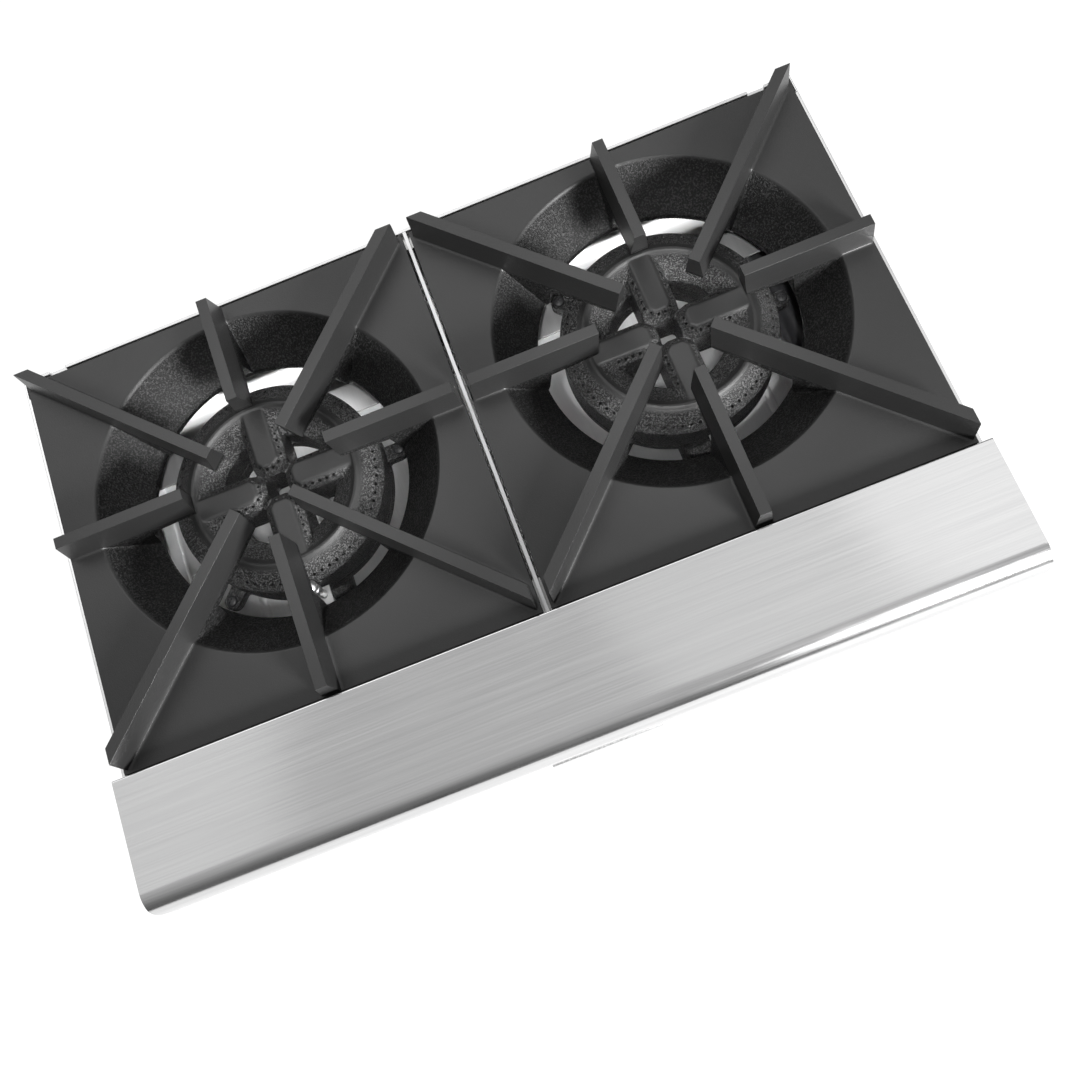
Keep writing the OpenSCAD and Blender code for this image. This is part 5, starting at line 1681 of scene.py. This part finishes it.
@dataclass
class PanelScrews(Assembly):
    """The eight cross-recessed screws in the side panels."""

    front_y: float = -0.159
    rear_y: float = 0.1756
    heights: tuple[float, float] = (0.142, 0.262)

    def build(self) -> None:
        """Makes one screw pointing outwards and copies it to each hole."""
        screw = CrossScrew(head_r=0.004, head_h=0.0018, shank_r=0.0019, shank=0.005).build("panel_screw")
        Bench.turn(screw, pi / 2, "Y")
        screws = []
        for side in Side:
            for y in (self.front_y, self.rear_y):
                for z in self.heights:
                    one = Bench.copy(screw, "panel_screw")
                    if side is Side.LEFT:
                        Bench.turn(one, pi)
                    screws.append(Bench.shift(one, (side.value * self.layout.half_w, y, z)))
        bpy.data.objects.remove(screw)
        self.fit(Bench.join("panel_screw_heads", screws), "body", ["panel_screws"], Finish.BRIGHT_METAL)


@dataclass
class Louvres(Assembly):
    """The pressed hoods over the rear panel's vent slots, open at their lower side."""

    rows: tuple[float, float, float] = (0.192, 0.216, 0.240)
    columns: int = 5
    pitch: float = 0.084
    half_w: float = 0.0335
    panel_y: float = 0.1838

    def build(self) -> None:
        """Presses one hood and copies it over every slot."""
        hood = self._hood()
        steps = [column - (self.columns - 1) / 2 for column in range(self.columns)]
        places = [(step * self.pitch, self.panel_y, z) for z in self.rows for step in steps]
        hoods = [Bench.shift(Bench.copy(hood, "vent_hood"), place) for place in places]
        bpy.data.objects.remove(hood)
        self.fit(Bench.join("vent_hoods", hoods), "body", [], Finish.REAR_SHEET)

    def _hood(self) -> Object:
        """Makes one hood about its slot's middle, on the panel's inner face."""
        sheet, half = self.layout.sheet, self.half_w
        outer = [(0.0, 0.0062), (-0.0030, 0.0056), (-0.0052, 0.0036), (-0.0060, 0.0006), (-0.0060, -0.0052),
                 (0.0, -0.0052)]
        inner = [(PAST, 0.0062 - sheet), (-0.0024, 0.0044), (-0.0042, 0.0030), (-0.0060 + sheet, 0.0004),
                 (-0.0060 + sheet, -0.0062), (PAST, -0.0062)]
        hood = Bench.slab("vent_hood", outer, Way.ACROSS, -half, 2 * half)
        hollow = Bench.slab("vent_hollow", inner, Way.ACROSS, sheet - half, 2 * (half - sheet))
        return Bench.smooth(Bench.cut(hood, hollow), 35.0)


@dataclass
class Softened(Assembly):
    """Pieces whose plain shape is right, given soft edges and a finish.

    Attributes:
        table: Each node with its finish and the width of its rounded edges. A star stands for each side.
    """

    table: tuple[tuple[str, Finish, float], ...] = (
        ("*_side_panel", Finish.SIDE_SHEET, 0.0004),
        ("rear_panel", Finish.REAR_SHEET, 0.00035),
        ("control_panel", Finish.PANEL_SHEET, 0.00035),
        ("front_baffle", Finish.PLAIN_SHEET, 0.00035),
        ("rear_grate_rail", Finish.PLAIN_SHEET, 0.00035),
        ("centre_divider", Finish.STRIP_SHEET, 0.00015),
        ("burner_support_bar", Finish.TRAY_SHEET, 0.0005),
        ("bottom_front_rail", Finish.PLAIN_SHEET, 0.0006),
        ("bottom_rear_rail", Finish.PLAIN_SHEET, 0.0006),
        ("*_tray_runner", Finish.PLAIN_SHEET, 0.0004),
        ("*_mixer_tube", Finish.TUBE_METAL, 0.0005),
        ("*_air_shutter", Finish.TUBE_METAL, 0.0004),
        ("*_pilot_bracket", Finish.PLAIN_SHEET, 0.0004),
        ("manifold_pipe", Finish.BLACK_PIPE, 0.0005),
        ("supply_elbow", Finish.BLACK_PIPE, 0.0008),
        ("supply_pipe", Finish.BLACK_PIPE, 0.0005),
        ("manifold_brackets", Finish.PLAIN_SHEET, 0.0005),
        ("*_valve", Finish.BRASS, 0.0006),
        ("*_orifice", Finish.BRASS, 0.0004),
        ("*_pilot_valve", Finish.BRASS, 0.0004),
        ("*_pilot_screw", Finish.BRASS, 0.0003),
        ("*_valve_stem", Finish.BRIGHT_METAL, 0.0004),
    )

    def build(self) -> None:
        """Softens each node of the table."""
        for name, finish, width in self.table:
            if name.startswith("*"):
                for side in Side:
                    self._soften(name.replace("*", side.word), finish, width)
            else:
                self._soften(name, finish, width)

    def _soften(self, node: str, finish: Finish, width: float) -> None:
        """Copies a node's mesh, closes it, rounds its edges and hangs it in the node's place.

        Args:
            node: The plain node's name.
            finish: The piece's finish.
            width: How wide its rounded edges are.
        """
        plain = frame["nodes"][node]
        body = body_of(plain)[0]
        twin = Bench.copy(plain, f"{node}_finished")
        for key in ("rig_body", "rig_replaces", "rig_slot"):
            if key in twin:
                del twin[key]
        twin.parent = None
        twin.matrix_world = Matrix.Identity(4)
        twin.hide_render = False
        Bench.edit(twin)
        bpy.ops.mesh.remove_doubles(threshold=0.000005)
        bpy.ops.mesh.dissolve_limited(angle_limit=radians(0.4))
        bpy.ops.mesh.normals_make_consistent(inside=False)
        Bench.done()
        if twin.data.has_custom_normals:
            Bench.pick(twin)
            bpy.ops.mesh.customdata_custom_splitnormals_clear()
        Bench.modify(twin, "BEVEL", width=width, segments=2, limit_method="ANGLE", angle_limit=radians(32),
                     use_clamp_overlap=False, miter_outer="MITER_ARC")
        self.fit(Bench.smooth(twin, 34.0), body, [node], finish)


def main() -> None:
    """Builds the finishes, every sub-assembly, the studio and the camera."""
    logging.basicConfig(level=logging.INFO, format="%(name)s: %(message)s")
    finishes = Finishes()
    finishes.build()
    layout = Layout()
    for kind in (Softened, Louvres, Ledge, Grates, Burners, Pilots, Controls, Tray, Legs, PanelScrews):
        LOG.info("building %s", kind.__name__.lower())
        kind(finishes, layout).build()
    Studio().build()
    Viewpoint().build()


if __name__ == "__main__":
    main()
